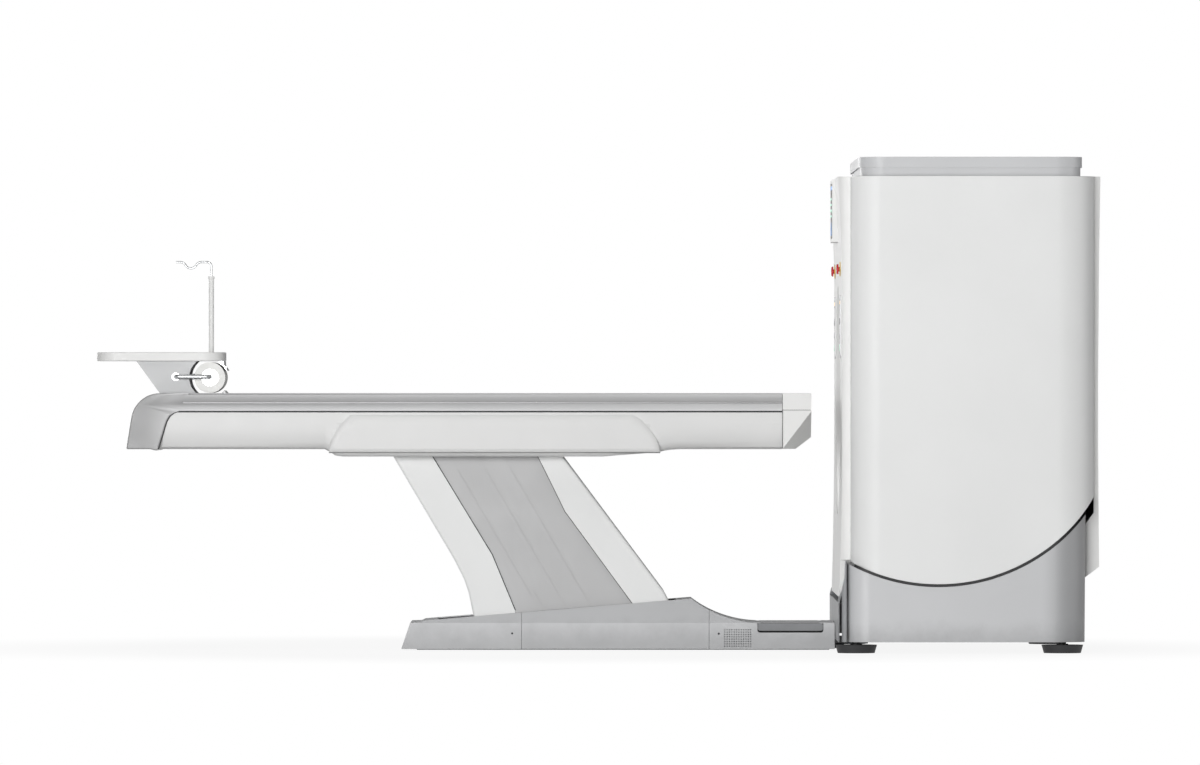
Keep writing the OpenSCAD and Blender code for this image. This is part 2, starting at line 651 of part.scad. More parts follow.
// Draws in the rotor's own plane: u outwards from the axis at the given angle, v across, depth forward
module on_rotor(angle) translate([disc_front - seat_gap, 0, iso_h]) rotate([angle, 0, 0]) children();

module xray_tube() at_iso() color([0.55, 0.57, 0.6]) on_rotor(0) {
  translate([-150, 0, focus_r + 30]) rotate([0, 90, 0]) {
    cylinder(h = 150, r = 112, $fn = fine);
    translate([0, 0, -90]) cylinder(h = 90 + tiny, r = 84, $fn = fine);
  }
  box_between([-120, -150, focus_r - 20], [0, 150, focus_r + 80]);
  translate([-60, 150, focus_r + 30]) rotate([-90, 0, 0]) cylinder(h = 40, r = 26);
}

module collimator() at_iso() color(dark_grey) on_rotor(0) difference() {
  box_between([-190, -118, rotor_bore_r + 12], [0, 118, focus_r - 82 - seat_gap]);
  box_between([-110, -90, rotor_bore_r], [-66, 90, focus_r]);
}

module detector() at_iso() color([0.2, 0.22, 0.26]) on_rotor(0) difference() {
  translate([-150, 0, focus_r]) rotate([0, 90, 0]) rotate(-fan_angle / 2) rotate_extrude(angle = fan_angle,
    $fn = 4 * fine) polygon([[detector_r - 6, 0], [detector_r + 64, 0], [detector_r + 64, 150],
    [detector_r - 6, 150]]);
  // Slot that the fan beam enters
  translate([-104, 0, focus_r]) rotate([0, 90, 0]) rotate(-fan_angle / 2 + 1.5)
    rotate_extrude(angle = fan_angle - 3, $fn = 4 * fine)
      translate([detector_r - 20, 0]) square([34, 58]);
}

module hv_generator() at_iso() color([0.35, 0.42, 0.5]) on_rotor(88) {
  box_between([-200, -150, 430], [0, 150, 640]);
  for (y = [-80, 80]) translate([-230, y, 535]) rotate([0, 90, 0]) cylinder(h = 30 + tiny, r = 34);
}

module rotor_power_box() at_iso() color([0.5, 0.52, 0.55]) {
  on_rotor(-88) box_between([-180, -160, 430], [0, 160, 630]);
  on_rotor(42) box_between([-160, -90, 470], [0, 90, 650]);
  on_rotor(-42) {
    box_between([-150, -80, 470], [0, 80, 660]);
    for (z = [490:24:640]) box_between([-170, -70, z], [-150, 70, z + 6]);
  }
}

module slip_ring() at_iso() color(copper) translate([rotor_back + bearing_w + seat_gap, 0, iso_h])
  rotate([0, 90, 0]) rotate_extrude($fn = fine) polygon(concat(
    [[rotor_bore_r + 4, 0], [race_split_r - 20, 0], [race_split_r - 20, 18], [race_split_r - 62, 18],
      [race_split_r - 62, 34]],
    [for (i = [0:4]) each [[race_split_r - 70, 34 + 14 * i], [race_split_r - 70, 42 + 14 * i],
      [race_split_r - 64, 42 + 14 * i], [race_split_r - 64, 48 + 14 * i]]],
    [[rotor_bore_r + 4, 104]]));

motor_y = 600;
motor_z = iso_h - 480;
module rotor_motor() at_iso() color([0.25, 0.27, 0.3]) {
  rod_x(plate_x + plate_t + seat_gap, plate_x + plate_t + 190, 62, motor_y, motor_z);
  difference() {
    box_between([plate_x + plate_t + seat_gap, motor_y - 75, motor_z - 75],
      [plate_x + plate_t + 30, motor_y + 75, motor_z + 75]);
    for (y = [-58, 58], z = [-58, 58]) rod_x(plate_x, plate_x + 200, 6, motor_y + y, motor_z + z);
  }
  for (i = [0:5]) difference() {
    rod_x(plate_x + plate_t + 50 + 20 * i, plate_x + plate_t + 58 + 20 * i, 72, motor_y, motor_z);
    rod_x(plate_x, plate_x + 400, 61, motor_y, motor_z);
  }
}

// ---------------------------------------------------------------- table base

rear_pivot = front_pivot + pivot_pitch;
lug_in = slot_half + 5;
lug_t = 20;
rail_out = tbase_half - 24;
slot_front = ramp_peak + 57;
slot_rear = rear_pivot + 258;
link_end = base_front + plinth_d + 2;
cover_t = 3;
ramp_foot = 1951;
ramp_foot_h = 111;
ramp_end = 660;
ramp_half = slot_half + 12;

module table_base_frame() at_iso() color(cast) difference() {
  union() {
    for (side = [-1, 1]) {
      // Side channels on the floor
      across_side(lug_in, rail_out, side)
        translate([-tbase_reach + 60, 0]) square([tbase_reach - 60 - link_end - 20, 64]);
      // Lugs that hold the pivot shafts
      for (x = [-rear_pivot, -front_pivot]) across_side(lug_in, lug_in + lug_t, side) {
        translate([x, pivot_h]) circle(pivot_d / 2, $fn = fine);
        translate([x - 60, 60]) square([120, 32]);
        translate([x - pivot_d / 2, 60]) square([pivot_d, pivot_h - 60]);
      }
      // Brackets outside the first two side panels, with their lower pins
      for (i = [0, 1]) {
        across_side(slot_half - 3, lug_in + 6, side) {
          translate([-panel_base[i], pivot_h]) circle(13);
          translate([-panel_base[i] - 13, 40]) square([26, pivot_h - 40]);
        }
        panel_pin(i, -panel_base[i], pivot_h, slot_half, side);
      }
      // The third panel's bracket stands inside it, clear of the front arm's cover
      across_side(panel_lug_in, panel_lug_in + 12, side) {
        translate([-panel_base[2], pivot_h]) circle(13);
        translate([-panel_base[2] - 13, 4]) square([26, pivot_h - 4]);
        translate([-panel_base[2] - 13, 4]) square([panel_base[2] - ramp_peak + 60, 24]);
      }
      panel_pin(2, -panel_base[2], pivot_h, panel_lug_in, side);
      // Stand-offs that the covers are screwed to
      for (x = cover_fix_x) box_between([-x, side > 0 ? rail_out - tiny : -tbase_half + cover_t + seat_gap, 20],
        [-x + 30, side > 0 ? tbase_half - cover_t - seat_gap : -rail_out + tiny, 44]);
    }
    for (x = [-tbase_reach + 60, -rear_pivot - 120, -ramp_peak + 20, -link_end - 66])
      box_between([x, -lug_in - 1, 4], [x + 60, lug_in + 1, 28]);
    // Ears and pins of the foot pedals
    for (side = [-1, 1]) {
      for (x = [-pedal_x - pedal_l / 2 - 9, -pedal_x + pedal_l / 2 + 1])
        box_between([x, side * pedal_hinge_y - 8, 40], [x + 8, side * pedal_hinge_y + 8, pedal_hinge_z + 8]);
      rod_x(-pedal_x - pedal_l / 2 - 4, -pedal_x + pedal_l / 2 + 4, 4 - run_gap, side * pedal_hinge_y, pedal_hinge_z);
    }
    // Docking tongue under the gantry base
    box_between([-link_end - 60, -tongue_half, 4], [-foot_front - 30, tongue_half, tongue_h]);
  }
  // Hollow of the side channels
  for (side = [-1, 1]) across_side(lug_in + lug_t + 4, rail_out - 6, side)
    translate([-tbase_reach + 50, 8]) square([tbase_reach - link_end - 20, 48]);
  for (x = [-rear_pivot, -front_pivot]) pin_y(x, pivot_h, pivot_d / 2 - 8 + run_gap, 4 * slot_half);
  for (x = tbase_anchor_x, y = [-tbase_anchor_y, tbase_anchor_y])
    translate([x, y, -1]) cylinder(h = 80, r = anchor_r);
}
// Pin from a bracket face at |y| = from through the i-th panel
module panel_pin(i, x, z, from, side) {
  to = from > panel_out(i + 1) ? panel_out(i + 1) - panel_t : panel_out(i + 1);
  pin_y(x, z, panel_pin_r, abs(to - from) + tiny, side * (to + from) / 2);
}
cover_fix_x = [tbase_reach - 120, seam_rear + 70, seam_rear - 40, seam_front + 70, seam_front - 8];
tbase_anchor_x = [-tbase_reach + 190, -seam_front + 90];
tbase_anchor_y = rail_out - 24;
// Isocentre to the lower pins of the three middle side panels
panel_share = [0.365, 0.547, 0.8];
panel_base = [for (f = panel_share) rear_pivot - f * pivot_pitch];

module base_pivot_shafts() at_iso() color(steel) for (x = [-rear_pivot, -front_pivot])
  pin_y(x, pivot_h, pivot_d / 2 - 8, 2 * (lug_in + lug_t));

// Side view of the table base: skirt, straight ramp to its peak, hollow curve down to the flat link
ramp_curve_r = (pow(ramp_peak - ramp_end, 2) + pow(ramp_h - skirt_h, 2)) / (2 * (ramp_h - skirt_h));
module base_profile(inset) {
  low = inset > 0 ? -overcut : 3;
  difference() {
    polygon([[-tbase_reach + 1.1 * inset, low], [-tbase_reach + 34 + 1.1 * inset, skirt_h - inset],
      [-ramp_foot - 14, skirt_h + 1 - inset], [-ramp_foot, ramp_foot_h - inset],
      [-ramp_peak, ramp_h - inset], [-ramp_end, ramp_h - inset], [-ramp_end, skirt_h - inset],
      [-link_end - inset, skirt_h - inset], [-link_end - inset, low]]);
    translate([-ramp_end, skirt_h + ramp_curve_r]) circle(ramp_curve_r + inset, $fn = 4 * fine);
  }
}
// End view: upright skirts, and flanks that lean in to the ramp's edges
module base_section(inset) polygon([[-tbase_half + inset, -2 * overcut], [-tbase_half + inset, skirt_h - 0.6 * inset],
  [-ramp_half + 0.6 * inset, ramp_h + 1], [ramp_half - 0.6 * inset, ramp_h + 1],
  [tbase_half - inset, skirt_h - 0.6 * inset], [tbase_half - inset, -2 * overcut]]);
module base_block(inset, from, to) intersection() {
  across(3 * tbase_half) base_profile(inset);
  translate([-from, 0, 0]) rotate([90, 0, 90]) linear_extrude(from - to) base_section(inset);
}
module base_shell(from, to, open_from, open_to) difference() {
  base_block(0, from, to);
  base_block(cover_t, from + open_from, to - open_to);
}
// Solid skinned over equal rings, with flat ends
module loft(rings) {
  n = len(rings[0]);
  m = len(rings);
  polyhedron(points = [for (r = rings) each r], faces = concat(
    [[for (i = [0:n - 1]) i]], [[for (i = [n - 1:-1:0]) (m - 1) * n + i]],
    [for (k = [0:m - 2], i = [0:n - 1]) each
      [[k * n + i, (k + 1) * n + i, (k + 1) * n + (i + 1) % n], [k * n + i, (k + 1) * n + (i + 1) % n, k * n + (i + 1) % n]]]));
}
module slot_cut() box_between([-slot_rear, -slot_half, -overcut], [-slot_front, slot_half, 2 * ramp_h]);
module cover_screw(x, z) for (side = [-1, 1]) translate([x, side * tbase_half, z]) rotate([90, 0, 0])
  cylinder(h = 12, r = 4, center = true, $fn = 24);
module table_cover_rear() at_iso() color(base_grey) difference() {
  base_shell(tbase_reach + 1, seam_rear + 1, 0, overcut);
  slot_cut();
  cover_screw(-seam_rear - 36, 63);
}
module table_cover_middle() at_iso() color(base_grey) difference() {
  base_shell(seam_rear, seam_front + 1, overcut, overcut);
  slot_cut();
}
module table_cover_front() at_iso() color(base_grey) difference() {
  base_shell(seam_front, link_end, overcut, 0);
  cover_screw(-seam_front + 36, 62);
  // Cooling grille in each skirt
  for (side = [-1, 1], i = [0:11], k = [0:7]) translate([-800 + vent_pitch * i, side * tbase_half,
    14 + vent_pitch * k]) rotate([90, 0, 0]) cylinder(h = 12, r = vent_d / 2, center = true, $fn = 8);
  // Notch of each foot pedal
  for (side = [-1, 1]) pedal_notch(side);
  // The docking tongue comes out of the end wall
  box_between([-link_end - 10, -tongue_half - 2, -overcut], [-link_end + 1, tongue_half + 2, tongue_h + 2]);
}
pedal_x = 549;
pedal_depth = 60;
module pedal_notch(side) across_side(tbase_half - pedal_depth - 2, tbase_half + 1, side)
  translate([-pedal_x - pedal_l / 2 - 2, skirt_h - pedal_h - 1 - pedal_travel])
    round_rect([pedal_l + 4, pedal_h + 18 + pedal_travel], 10);
pedal_travel = 7;
// Treadle with its hinge barrel inside the cover
module pedal_left() at_iso() color(mid_grey) pedal_solid();
module pedal_right() at_iso() color(mid_grey) mirror([0, 1, 0]) pedal_solid();
module pedal_solid() difference() {
  union() {
    across_side(tbase_half - pedal_depth, tbase_half, 1)
      translate([-pedal_x - pedal_l / 2, skirt_h - pedal_h - 1]) round_rect([pedal_l, pedal_h], 8);
    rod_x(-pedal_x - pedal_l / 2 + 10, -pedal_x + pedal_l / 2 - 10, 9, pedal_hinge_y, pedal_hinge_z);
  }
  rod_x(-pedal_x - pedal_l, -pedal_x + pedal_l, 4, pedal_hinge_y, pedal_hinge_z);
}
pedal_hinge_y = tbase_half - pedal_depth + 4;
pedal_hinge_z = skirt_h - pedal_h + 13;

module lift_gearbox() at_iso() color([0.3, 0.33, 0.38]) {
  box_between([-rear_pivot + 130, -120, 28 - tiny], [-rear_pivot + 290, 60, 98]);
  rod_x(-rear_pivot + 290 - tiny, -rear_pivot + 400, 34, -30, 66);
  box_between([-rear_pivot + 120, -lug_in + seat_gap, 4], [-rear_pivot + 300, lug_in - seat_gap, 28]);
}

// ---------------------------------------------------------------- lift column

shaft_r = pivot_d / 2 - 8;
arm_half = 150;
panel_lug_in = arm_half + 10;
tongue_half = 85;
tongue_h = base_lift - 23;
arm_w = 34;
pad_y = [320, 560];
// Where the edge from a to b lies at height y
function edge_x(a, b, y) = a[0] + (b[0] - a[0]) * (y - a[1]) / (b[1] - a[1]);
cover_in = arm_cover_half - 4;
arm_top = 790;
// Layers of the side panels: each lies inside the one before it
layer_pitch = panel_t + 0.7;
function panel_out(i) = cover_in - seat_gap - i * layer_pitch;
// Draws in an arm's own plane: x across the arm towards the gantry, y along it from the base pivot
module in_arm_plane(x) translate([-x, 0, pivot_h]) rotate([0, -arm_lean, 0]) children();
module arm_solid(pads) in_arm_plane(front_pivot) difference() {
  union() {
    across(2 * arm_half) {
      translate([-arm_w, 0]) square([2 * arm_w, arm_l]);
      circle(arm_w, $fn = fine);
      translate([0, arm_l]) circle(arm_w, $fn = fine);
    }
    // Pads that the cover is screwed to
    for (p = pads) box_between([min(p[0], p[1]), -60, p[2]], [max(p[0], p[1]), 60, p[2] + 40]);
  }
  across(2 * arm_half - 60) translate([-arm_w - 60, 70]) square([arm_w + 60 + arm_w - 12, arm_l - 140]);
  for (s = [0, arm_l]) rotate([90, 0, 0]) translate([0, s, 0])
    cylinder(h = 3 * arm_half, r = shaft_r + run_gap, center = true, $fn = fine);
}
module rear_arm() at_iso() color(cast) {
  translate([-pivot_pitch, 0, 0]) difference() {
    arm_solid([for (y = pad_y) [edge_x(rear_outer[0], rear_outer[1], y) + 4.6, -arm_w + 10, y]]);
    in_arm_plane(front_pivot) translate([0, 0, arm_l]) rotate([90, 0, 0])
      cylinder(h = 3 * arm_half, r = shaft_r + 0.5, center = true, $fn = fine);
  }
  // First side panel, fixed inside the arm's cover
  in_arm_plane(rear_pivot) for (side = [-1, 1]) across_side(panel_out(0) - panel_t, panel_out(0), side)
    polygon([[48, 20], [135, 20], [135, 648], [48, 700]]);
}
// The front arm is cut back where its cover comes close
module front_arm() at_iso() color(cast) difference() {
  arm_solid([for (y = pad_y) [-arm_w + 50, edge_x(front_outer[1], front_outer[2], y + 40) - 4 - seat_gap, y]]);
  in_arm_plane(front_pivot) across(3 * arm_half) translate([-4 - seat_gap, 0]) polygon(concat(
    [for (y = [pad_y[1], front_outer[1][1]]) [edge_x(front_outer[1], front_outer[2], y), y]],
    [[front_outer[0][0], arm_top + 2], [3 * arm_w, arm_top + 2], [3 * arm_w, pad_y[1]]]));
}

// White cover of the rear arm, open towards the front arm
rear_outer = [[-53, arm_top], [-50, 300], [-55, 215], [-66, 161], [-98, 66]];
rear_inner = [[20, -20], [52, 7], [84, 241], [76, 680], [76, arm_top]];
module rear_arm_cover() at_iso() color(white) in_arm_plane(rear_pivot) difference() {
  across(2 * arm_cover_half) polygon(concat(rear_outer, [[-20, 20], [30, -12]], [for (i = [1:4]) rear_inner[i]]));
  across(2 * cover_in) polygon(concat([for (p = rear_outer) [p[0] + 4, p[1] + (p[1] > 700 ? 1 : 0)]],
    [[-20, -60], [120, -60], [120, arm_top + 1]]));
  // Clears the pivot shaft
  across(3 * arm_cover_half) circle(shaft_r + 2, $fn = fine);
}
front_outer = [[16, arm_top], [27, 705], [99, 74], [97, 20]];
front_inner = [[-14, 12], [-28, 94], [-73, 525], [-57, 754], [-57, arm_top]];
module front_arm_cover() at_iso() color(white) in_arm_plane(front_pivot) difference() {
  across(2 * arm_cover_half) polygon(concat(front_outer, front_inner));
  across(2 * cover_in) polygon(concat([for (p = front_outer) [p[0] - 4, p[1] + (p[1] > 770 ? 1 : p[1] < 30 ? -30 : 0)]],
    [[-120, -20], [-120, arm_top + 1]]));
}

// Side panels between the arms: i-th layer, edges to either side of its own pivot line
panel_edges = [[-56, 51], [-47, 47], [-85, 44]];
module side_panel(i) in_arm_plane(panel_base[i]) for (side = [-1, 1])
  across_side(panel_out(i + 1) - panel_t, panel_out(i + 1), side) difference() {
    union() {
      translate([panel_edges[i][0], 22]) square([panel_edges[i][1] - panel_edges[i][0], arm_l - 44]);
      for (s = [0, arm_l]) translate([0, s]) circle(13);
      translate([-13, 0]) square([26, arm_l]);
    }
    for (s = [0, arm_l]) translate([0, s]) circle(panel_pin_r + seat_gap);
    // The lowered front arm's upper shaft comes to lie in this notch of the third panel
    if (i == 2) translate([38, arm_l - 105]) {
      circle(shaft_r + 2);
      translate([0, -shaft_r - 2]) square([30, 2 * shaft_r + 8]);
    }
  }
panel_pin_r = 6;
module side_panel_1() at_iso() color(mid_grey) side_panel(0);
module side_panel_2() at_iso() color(mid_grey) side_panel(1);
module side_panel_3() at_iso() color(mid_grey) side_panel(2);

// ---------------------------------------------------------------- couch

top_z = pivot_h + arm_l * cos(arm_lean);
top_shift = arm_l * sin(arm_lean);
rail_z = 905;
couch_half = table_w / 2;
white_half = couch_half - 3;
band_z = table_h - band_h;
nose_x = nose_reach + nose_l;
rail_in = 150;
rail_w = 24;
rail_h = 16;
couch_slot_rear = rear_pivot + top_shift + 78;
couch_slot_front = 950;
frame_foot = foot_reach - 190;
frame_nose = nose_x + 8;

module couch_frame() at_iso() color(cast) difference() {
  union() {
    for (side = [-1, 1]) {
      across_side(slot_half + 5, slot_half + 50, side)
        translate([-frame_foot, rail_z - 55]) square([frame_foot - frame_nose, 55]);
      for (x = [rear_pivot, front_pivot]) across_side(slot_half + 5, slot_half + 25, side) {
        translate([-x - top_shift, top_z]) circle(20, $fn = fine);
        translate([-x - top_shift - 20, top_z]) square([40, rail_z - top_z - 20]);
      }
      // Brackets of the side panels' upper pins
      for (x = panel_base) across_side(164, 176, side)
        translate([-x - top_shift - 14, top_z - 14]) square([28, rail_z - top_z + 14]);
      for (i = [0:2]) pin_y(-panel_base[i] - top_shift, top_z, panel_pin_r,
        panel_out(i + 1) - 170, side * (panel_out(i + 1) + 170) / 2);
    }
    for (x = [rear_pivot, front_pivot]) pin_y(-x - top_shift, top_z, shaft_r, 2 * (slot_half + 20));
    for (x = [frame_foot, frame_foot - 400, nose_x + 300, nose_x + 70])
      box_between([-x, -slot_half - 6, rail_z - 45], [-x + 60, slot_half + 6, rail_z]);
    // Deck that the slide rails are bolted to
    box_between([-frame_foot, -179, rail_z - 8], [-frame_nose, 179, rail_z]);
    // Stand-offs of the side cover
    for (side = [-1, 1], x = [frame_foot - 60, 2150, 1450, nose_x + 200]) box_between(
      [-x, side > 0 ? slot_half + 50 - tiny : -white_half + 4 + seat_gap, rail_z - 7],
      [-x + 40, side > 0 ? white_half - 4 - seat_gap : -slot_half - 50 + tiny, rail_z + 5]);
  }
  box_between([-frame_foot + 110, -120, rail_z - 9], [-nose_x - 140, 120, rail_z + 1]);
}

module slide_rails() at_iso() color(steel) for (side = [-1, 1]) difference() {
  across_side(rail_in, rail_in + rail_w, side)
    translate([-frame_foot + 30, rail_z + seat_gap]) square([frame_foot - 30 - frame_nose, rail_h]);
  for (y = [rail_in, rail_in + rail_w]) translate([0, side * y, rail_z + rail_h / 2])
    rotate([0, 90, 0]) cylinder(h = 3 * foot_reach, r = 3, center = true);
}

// White side cover: section at distance x, its belly lowered and squared by bulge (0 to 1)
function under_ring(x, bulge, inset) = let (
    h = white_half - inset, z = under_h - bulge * bulge_h, b = bulge * 26, i = inset,
    half = [[h - 52 + b, z + i], [h - 24 + b * 0.7, z + 9 + i], [h - 9 + b * 0.3, z + 32 + i],
      [h - 2 + b * 0.1, z + 66], [h, z + 100 + 28 * bulge], [h, band_z - (i > 0 ? -overcut : 0.5)]])
  concat([for (k = [5:-1:0]) [x, -half[k][0], half[k][1]]], [for (p = half) [x, p[0], p[1]]]);
bulge_steps = [[2330, 0], [2306, 0.45], [2290, 0.85], [2262, 1], [1265, 1], [1198, 0.8], [1083, 0.5],
  [1052, 0.4], [1030, 0.2], [1008, 0.08], [971, 0]];
foot_seam = 2960;
// Side view of the cover's foot end: a leaning edge that turns over into the seam above it
foot_edge = [[-2966, under_h], [-2934, 872], [-2922, 893], [-2906, 906], [-2884, band_z]];
module under_body(inset) difference() {
  loft(concat([under_ring(-foot_seam - 10, 0, inset)],
    [for (b = bulge_steps) under_ring(-b[0], b[1], inset)],
    [under_ring(-nose_x + (inset > 0 ? -5 : 0.2), 0, inset)]));
  across(3 * white_half) translate([inset, 0]) polygon(concat([[-foot_reach, 0], [foot_edge[0][0], 0]],
    foot_edge, [[foot_edge[4][0], 2 * band_z], [-foot_reach, 2 * band_z]]));
}
// Raised field over the lift arms, on each side: its outline in the XZ plane, set in by inset
blister_top = 902;
blister_foot = 2314;
blister_nose = 1046;
blister_rise = [[-3, 0, 752], [5, 5, 757], [10, 14, 764], [12, 28, 772]];
function blister_ring(layer, side) = let (low = layer[2], high = blister_top - 1.2 * layer[1],
    steps = [for (k = [0:6]) k / 6], ends = [for (t = steps) [blister_foot - 78 * t * t - layer[1], low + t * (high - low)]],
    tips = [for (k = [6:-1:0]) [blister_nose + 96 * steps[k] * steps[k] + layer[1], low + steps[k] * (high - low)]])
  [for (p = side > 0 ? concat(ends, tips) : concat([for (k = [6:-1:0]) tips[k]], [for (k = [6:-1:0]) ends[k]]))
    [-p[0], side * (white_half + layer[0]), p[1]]];
module couch_under_cover() at_iso() color(white) {
  difference() {
    under_body(0);
    under_body(4);
    box_between([-couch_slot_rear, -slot_half, 0], [-couch_slot_front, slot_half, under_h + 20]);
  }
  for (side = [-1, 1]) loft([for (layer = blister_rise) blister_ring(layer, side)]);
}

// Grey top cover: half section of its side band, with the groove along its middle
module band_section(inset) polygon([[channel_half + inset, table_h - inset], [couch_half - 12, table_h - inset],
  [couch_half - 3 - inset, table_h - 7 - inset / 2], [couch_half - inset, table_h - 14],
  [couch_half - inset, band_mid + 3], [couch_half - 3 - inset, band_mid], [couch_half - inset, band_mid - 3],
  [couch_half - inset, band_z - (inset > 0 ? 5 : 0)], [channel_half + 40 + inset, band_z - (inset > 0 ? 5 : 0)],
  [channel_half + 40 + inset, table_h - 30], [channel_half + inset, table_h - 30]]);
channel_half = cradle_w / 2 + 3;
band_mid = table_h - 37;
// Side view of the foot-end cap: a straight lower edge that runs into the round top
cap_r = 110;
cap_c = [-2960, table_h - cap_r];
cap_toe = [-foot_reach + 2, under_h];
cap_tangent = 180 + atan2(cap_c[1] - cap_toe[1], cap_c[0] - cap_toe[0]) - acos(cap_r / norm(cap_c - cap_toe));
module cap_outline(inset) {
  translate(cap_c) circle(cap_r - inset, $fn = 2 * fine);
  polygon([[cap_toe[0] + 1.17 * inset, cap_toe[1] + inset], cap_c + (cap_r - inset) * [cos(cap_tangent), sin(cap_tangent)],
    cap_c, [cap_c[0], table_h - inset], [-foot_seam + 110, table_h - inset], [-foot_seam + 110, under_h + inset]]);
}
module couch_top_cover() at_iso() color(base_grey) {
  for (side = [0, 1]) mirror([0, side, 0]) translate([-foot_seam + 88, 0, 0]) rotate([90, 0, 90])
    linear_extrude(foot_seam - 88 - nose_x) difference() {
      band_section(0);
      band_section(3.5);
    }
  difference() {
    across(table_w) cap_outline(0);
    across(table_w - 8) cap_outline(4);
    // Room for the white cover behind the cap
    across(2 * table_w) translate([-0.5, 0])
      polygon(concat([[foot_edge[0][0], 0]], foot_edge, [[0, band_z], [0, 0]]));
    // Channel of the cradle
    box_between([-foot_reach + 122, -channel_half, table_h - 60], [0, channel_half, 2 * table_h]);
    box_between([-foot_seam + 90, -table_w, 0], [0, table_w, table_h - 5]);
  }
}

// Lower nose block: an oblique facet takes its front corners off, and a chamfer its front lower edge
facet_in = 110;
facet_run = nose_l;
facet_rise = band_z - under_h - 2;
facet_n = cross([facet_run, 0, facet_rise], [facet_run, -facet_in, 45]);
module nose_block(inset) difference() {
  across(2 * (white_half - inset)) polygon([[-nose_x + 0.5 - 2 * inset, band_z + 4 - inset],
    [-nose_x + 0.5 - 2 * inset, under_h + 1 + inset], [-nose_reach - 59 - inset / 3, under_h + 1 + inset],
    [-nose_reach - inset, under_h + 46 + inset / 2], [-nose_reach - inset, band_z + 4 - inset]]);
  for (side = [0, 1]) mirror([0, side, 0]) translate([-nose_x, white_half, under_h])
    rotate([0, -atan2(facet_n[2], norm([facet_n[0], facet_n[1]])), atan2(facet_n[1], facet_n[0])])
      translate([-inset, -300, -300]) cube(600);
}
module nose_cover() at_iso() color(warm_white) {
  difference() {
    nose_block(0);
    nose_block(4);
  }
  for (side = [-1, 1]) difference() {
    across_side(channel_half, couch_half, side) translate([-nose_x + 0.5, band_z + 3.7])
      round_rect([nose_l - 0.5, table_h - band_z - 3.7], 4);
    across_side(channel_half + 4, couch_half - 4, side) translate([-nose_x - 10, band_z + 10])
      square([nose_l + 6, table_h - band_z - 14]);
  }
}

cradle_z = table_h - cradle_t;
cradle_foot = foot_reach - 124;
// Dished top between two flat borders
dish_d = 14;
dish_half = 176;
dish_r = (pow(dish_half, 2) + pow(dish_d, 2)) / (2 * dish_d);
guide_x = 2718;
module cradle_section(inset) difference() {
  translate([-cradle_w / 2, cradle_z]) round_rect([cradle_w, cradle_t], 8);
  translate([0, table_h - dish_d + dish_r]) circle(dish_r, $fn = 4 * fine);
}
module cradle() at_iso() color([0.80, 0.80, 0.81]) difference() {
  union() {
    translate([-cradle_foot, 0, 0]) rotate([90, 0, 90]) linear_extrude(cradle_foot - nose_x) cradle_section(0);
    for (side = [-1, 1], x = [cradle_foot - 80, cradle_foot - 380]) box_between(
      [-x, side * (rail_in + rail_w / 2) - 20, rail_z + rail_h + 2 * seat_gap],
      [-x + 140, side * (rail_in + rail_w / 2) + 20, cradle_z + 1]);
    // Paper guide
    across(300) translate([-guide_x, table_h]) polygon([[-10, -dish_d], [-10, 0], [0, 11], [10, 0], [10, -dish_d]]);
  }
}
module cradle_head() at_iso() color(warm_white) difference() {
  translate([-nose_x, 0, 0]) rotate([90, 0, 90]) linear_extrude(nose_l) cradle_section(0);
  translate([-nose_reach, 0, cradle_z]) rotate([0, 45, 0]) cube([24, table_w, 24], center = true);
}

roll_x = 2772;
roll_z = 1041;
roll_half = 188;
bracket_half = 186;
boss_x = 2902;
rod_r = 8.5;
module bracket_outline(inset) difference() {
  polygon([[-3053 + 1.3 * inset, tray_h - seat_gap - inset], [-2790, tray_h - seat_gap - inset],
    [-2790, table_h + seat_gap], [-2964 + 1.3 * inset, table_h + seat_gap]]);
  translate([-roll_x, roll_z]) circle(roll_d / 2 + 20 + inset, $fn = fine);
  translate([-2810, 0]) square([100, 2 * table_h]);
}
module tray_bracket() at_iso() color([0.72, 0.73, 0.74]) difference() {
  across(2 * bracket_half) bracket_outline(0);
  across(2 * bracket_half - 12) translate([12, 0]) bracket_outline(6);
  for (x = [2940, 2860]) translate([-x, 0, table_h]) cylinder(h = 30, r = 5, center = true);
}
module tray() at_iso() color(warm_white) difference() {
  translate([-tray_reach, -tray_w / 2, tray_h]) linear_extrude(tray_t) round_rect([tray_l, tray_w], 80);
  translate([-tray_reach + 12, -tray_w / 2 + 12, tray_h + tray_t - 8]) linear_extrude(tray_t)
    round_rect([tray_l - 24, tray_w - 24], 68);
}
// Bent rod that holds the roll: out of the bracket, along it, and in through the roll's core
rod_y = roll_half + 22;
module roll_holder() at_iso() color(steel) {
  pin_y(-boss_x, roll_z + 3, 15, 8, -bracket_half - 4 - seat_gap);
  pin_y(-boss_x, roll_z + 3, rod_r, rod_y - 14 - bracket_half - 1, -(bracket_half + 1 + rod_y - 14) / 2);
  rod_x(-boss_x + 14, -roll_x - 14, rod_r, -rod_y, roll_z + 3);
  for (e = [[-boss_x + 14, 180], [-roll_x - 14, 270]]) translate([e[0], -rod_y + 14, roll_z + 3])
    rotate(e[1]) rotate_extrude(angle = 90, $fn = 48) translate([14, 0]) circle(rod_r, $fn = 24);
  pin_y(-roll_x, roll_z + 3, rod_r, 2 * rod_y - 28, 0);
  for (side = [-1, 1]) pin_y(-roll_x, roll_z, roll_core_d / 2 - seat_gap, 12, side * (roll_half - 20));
  // Far end rests in a hook on the bracket
  difference() {
    across_side(bracket_half + 3, bracket_half + 9, 1) {
      translate([-boss_x - 12, roll_z - 9]) square([boss_x - roll_x + 12, 24]);
      translate([-roll_x, roll_z + 3]) circle(12);
    }
  }
}
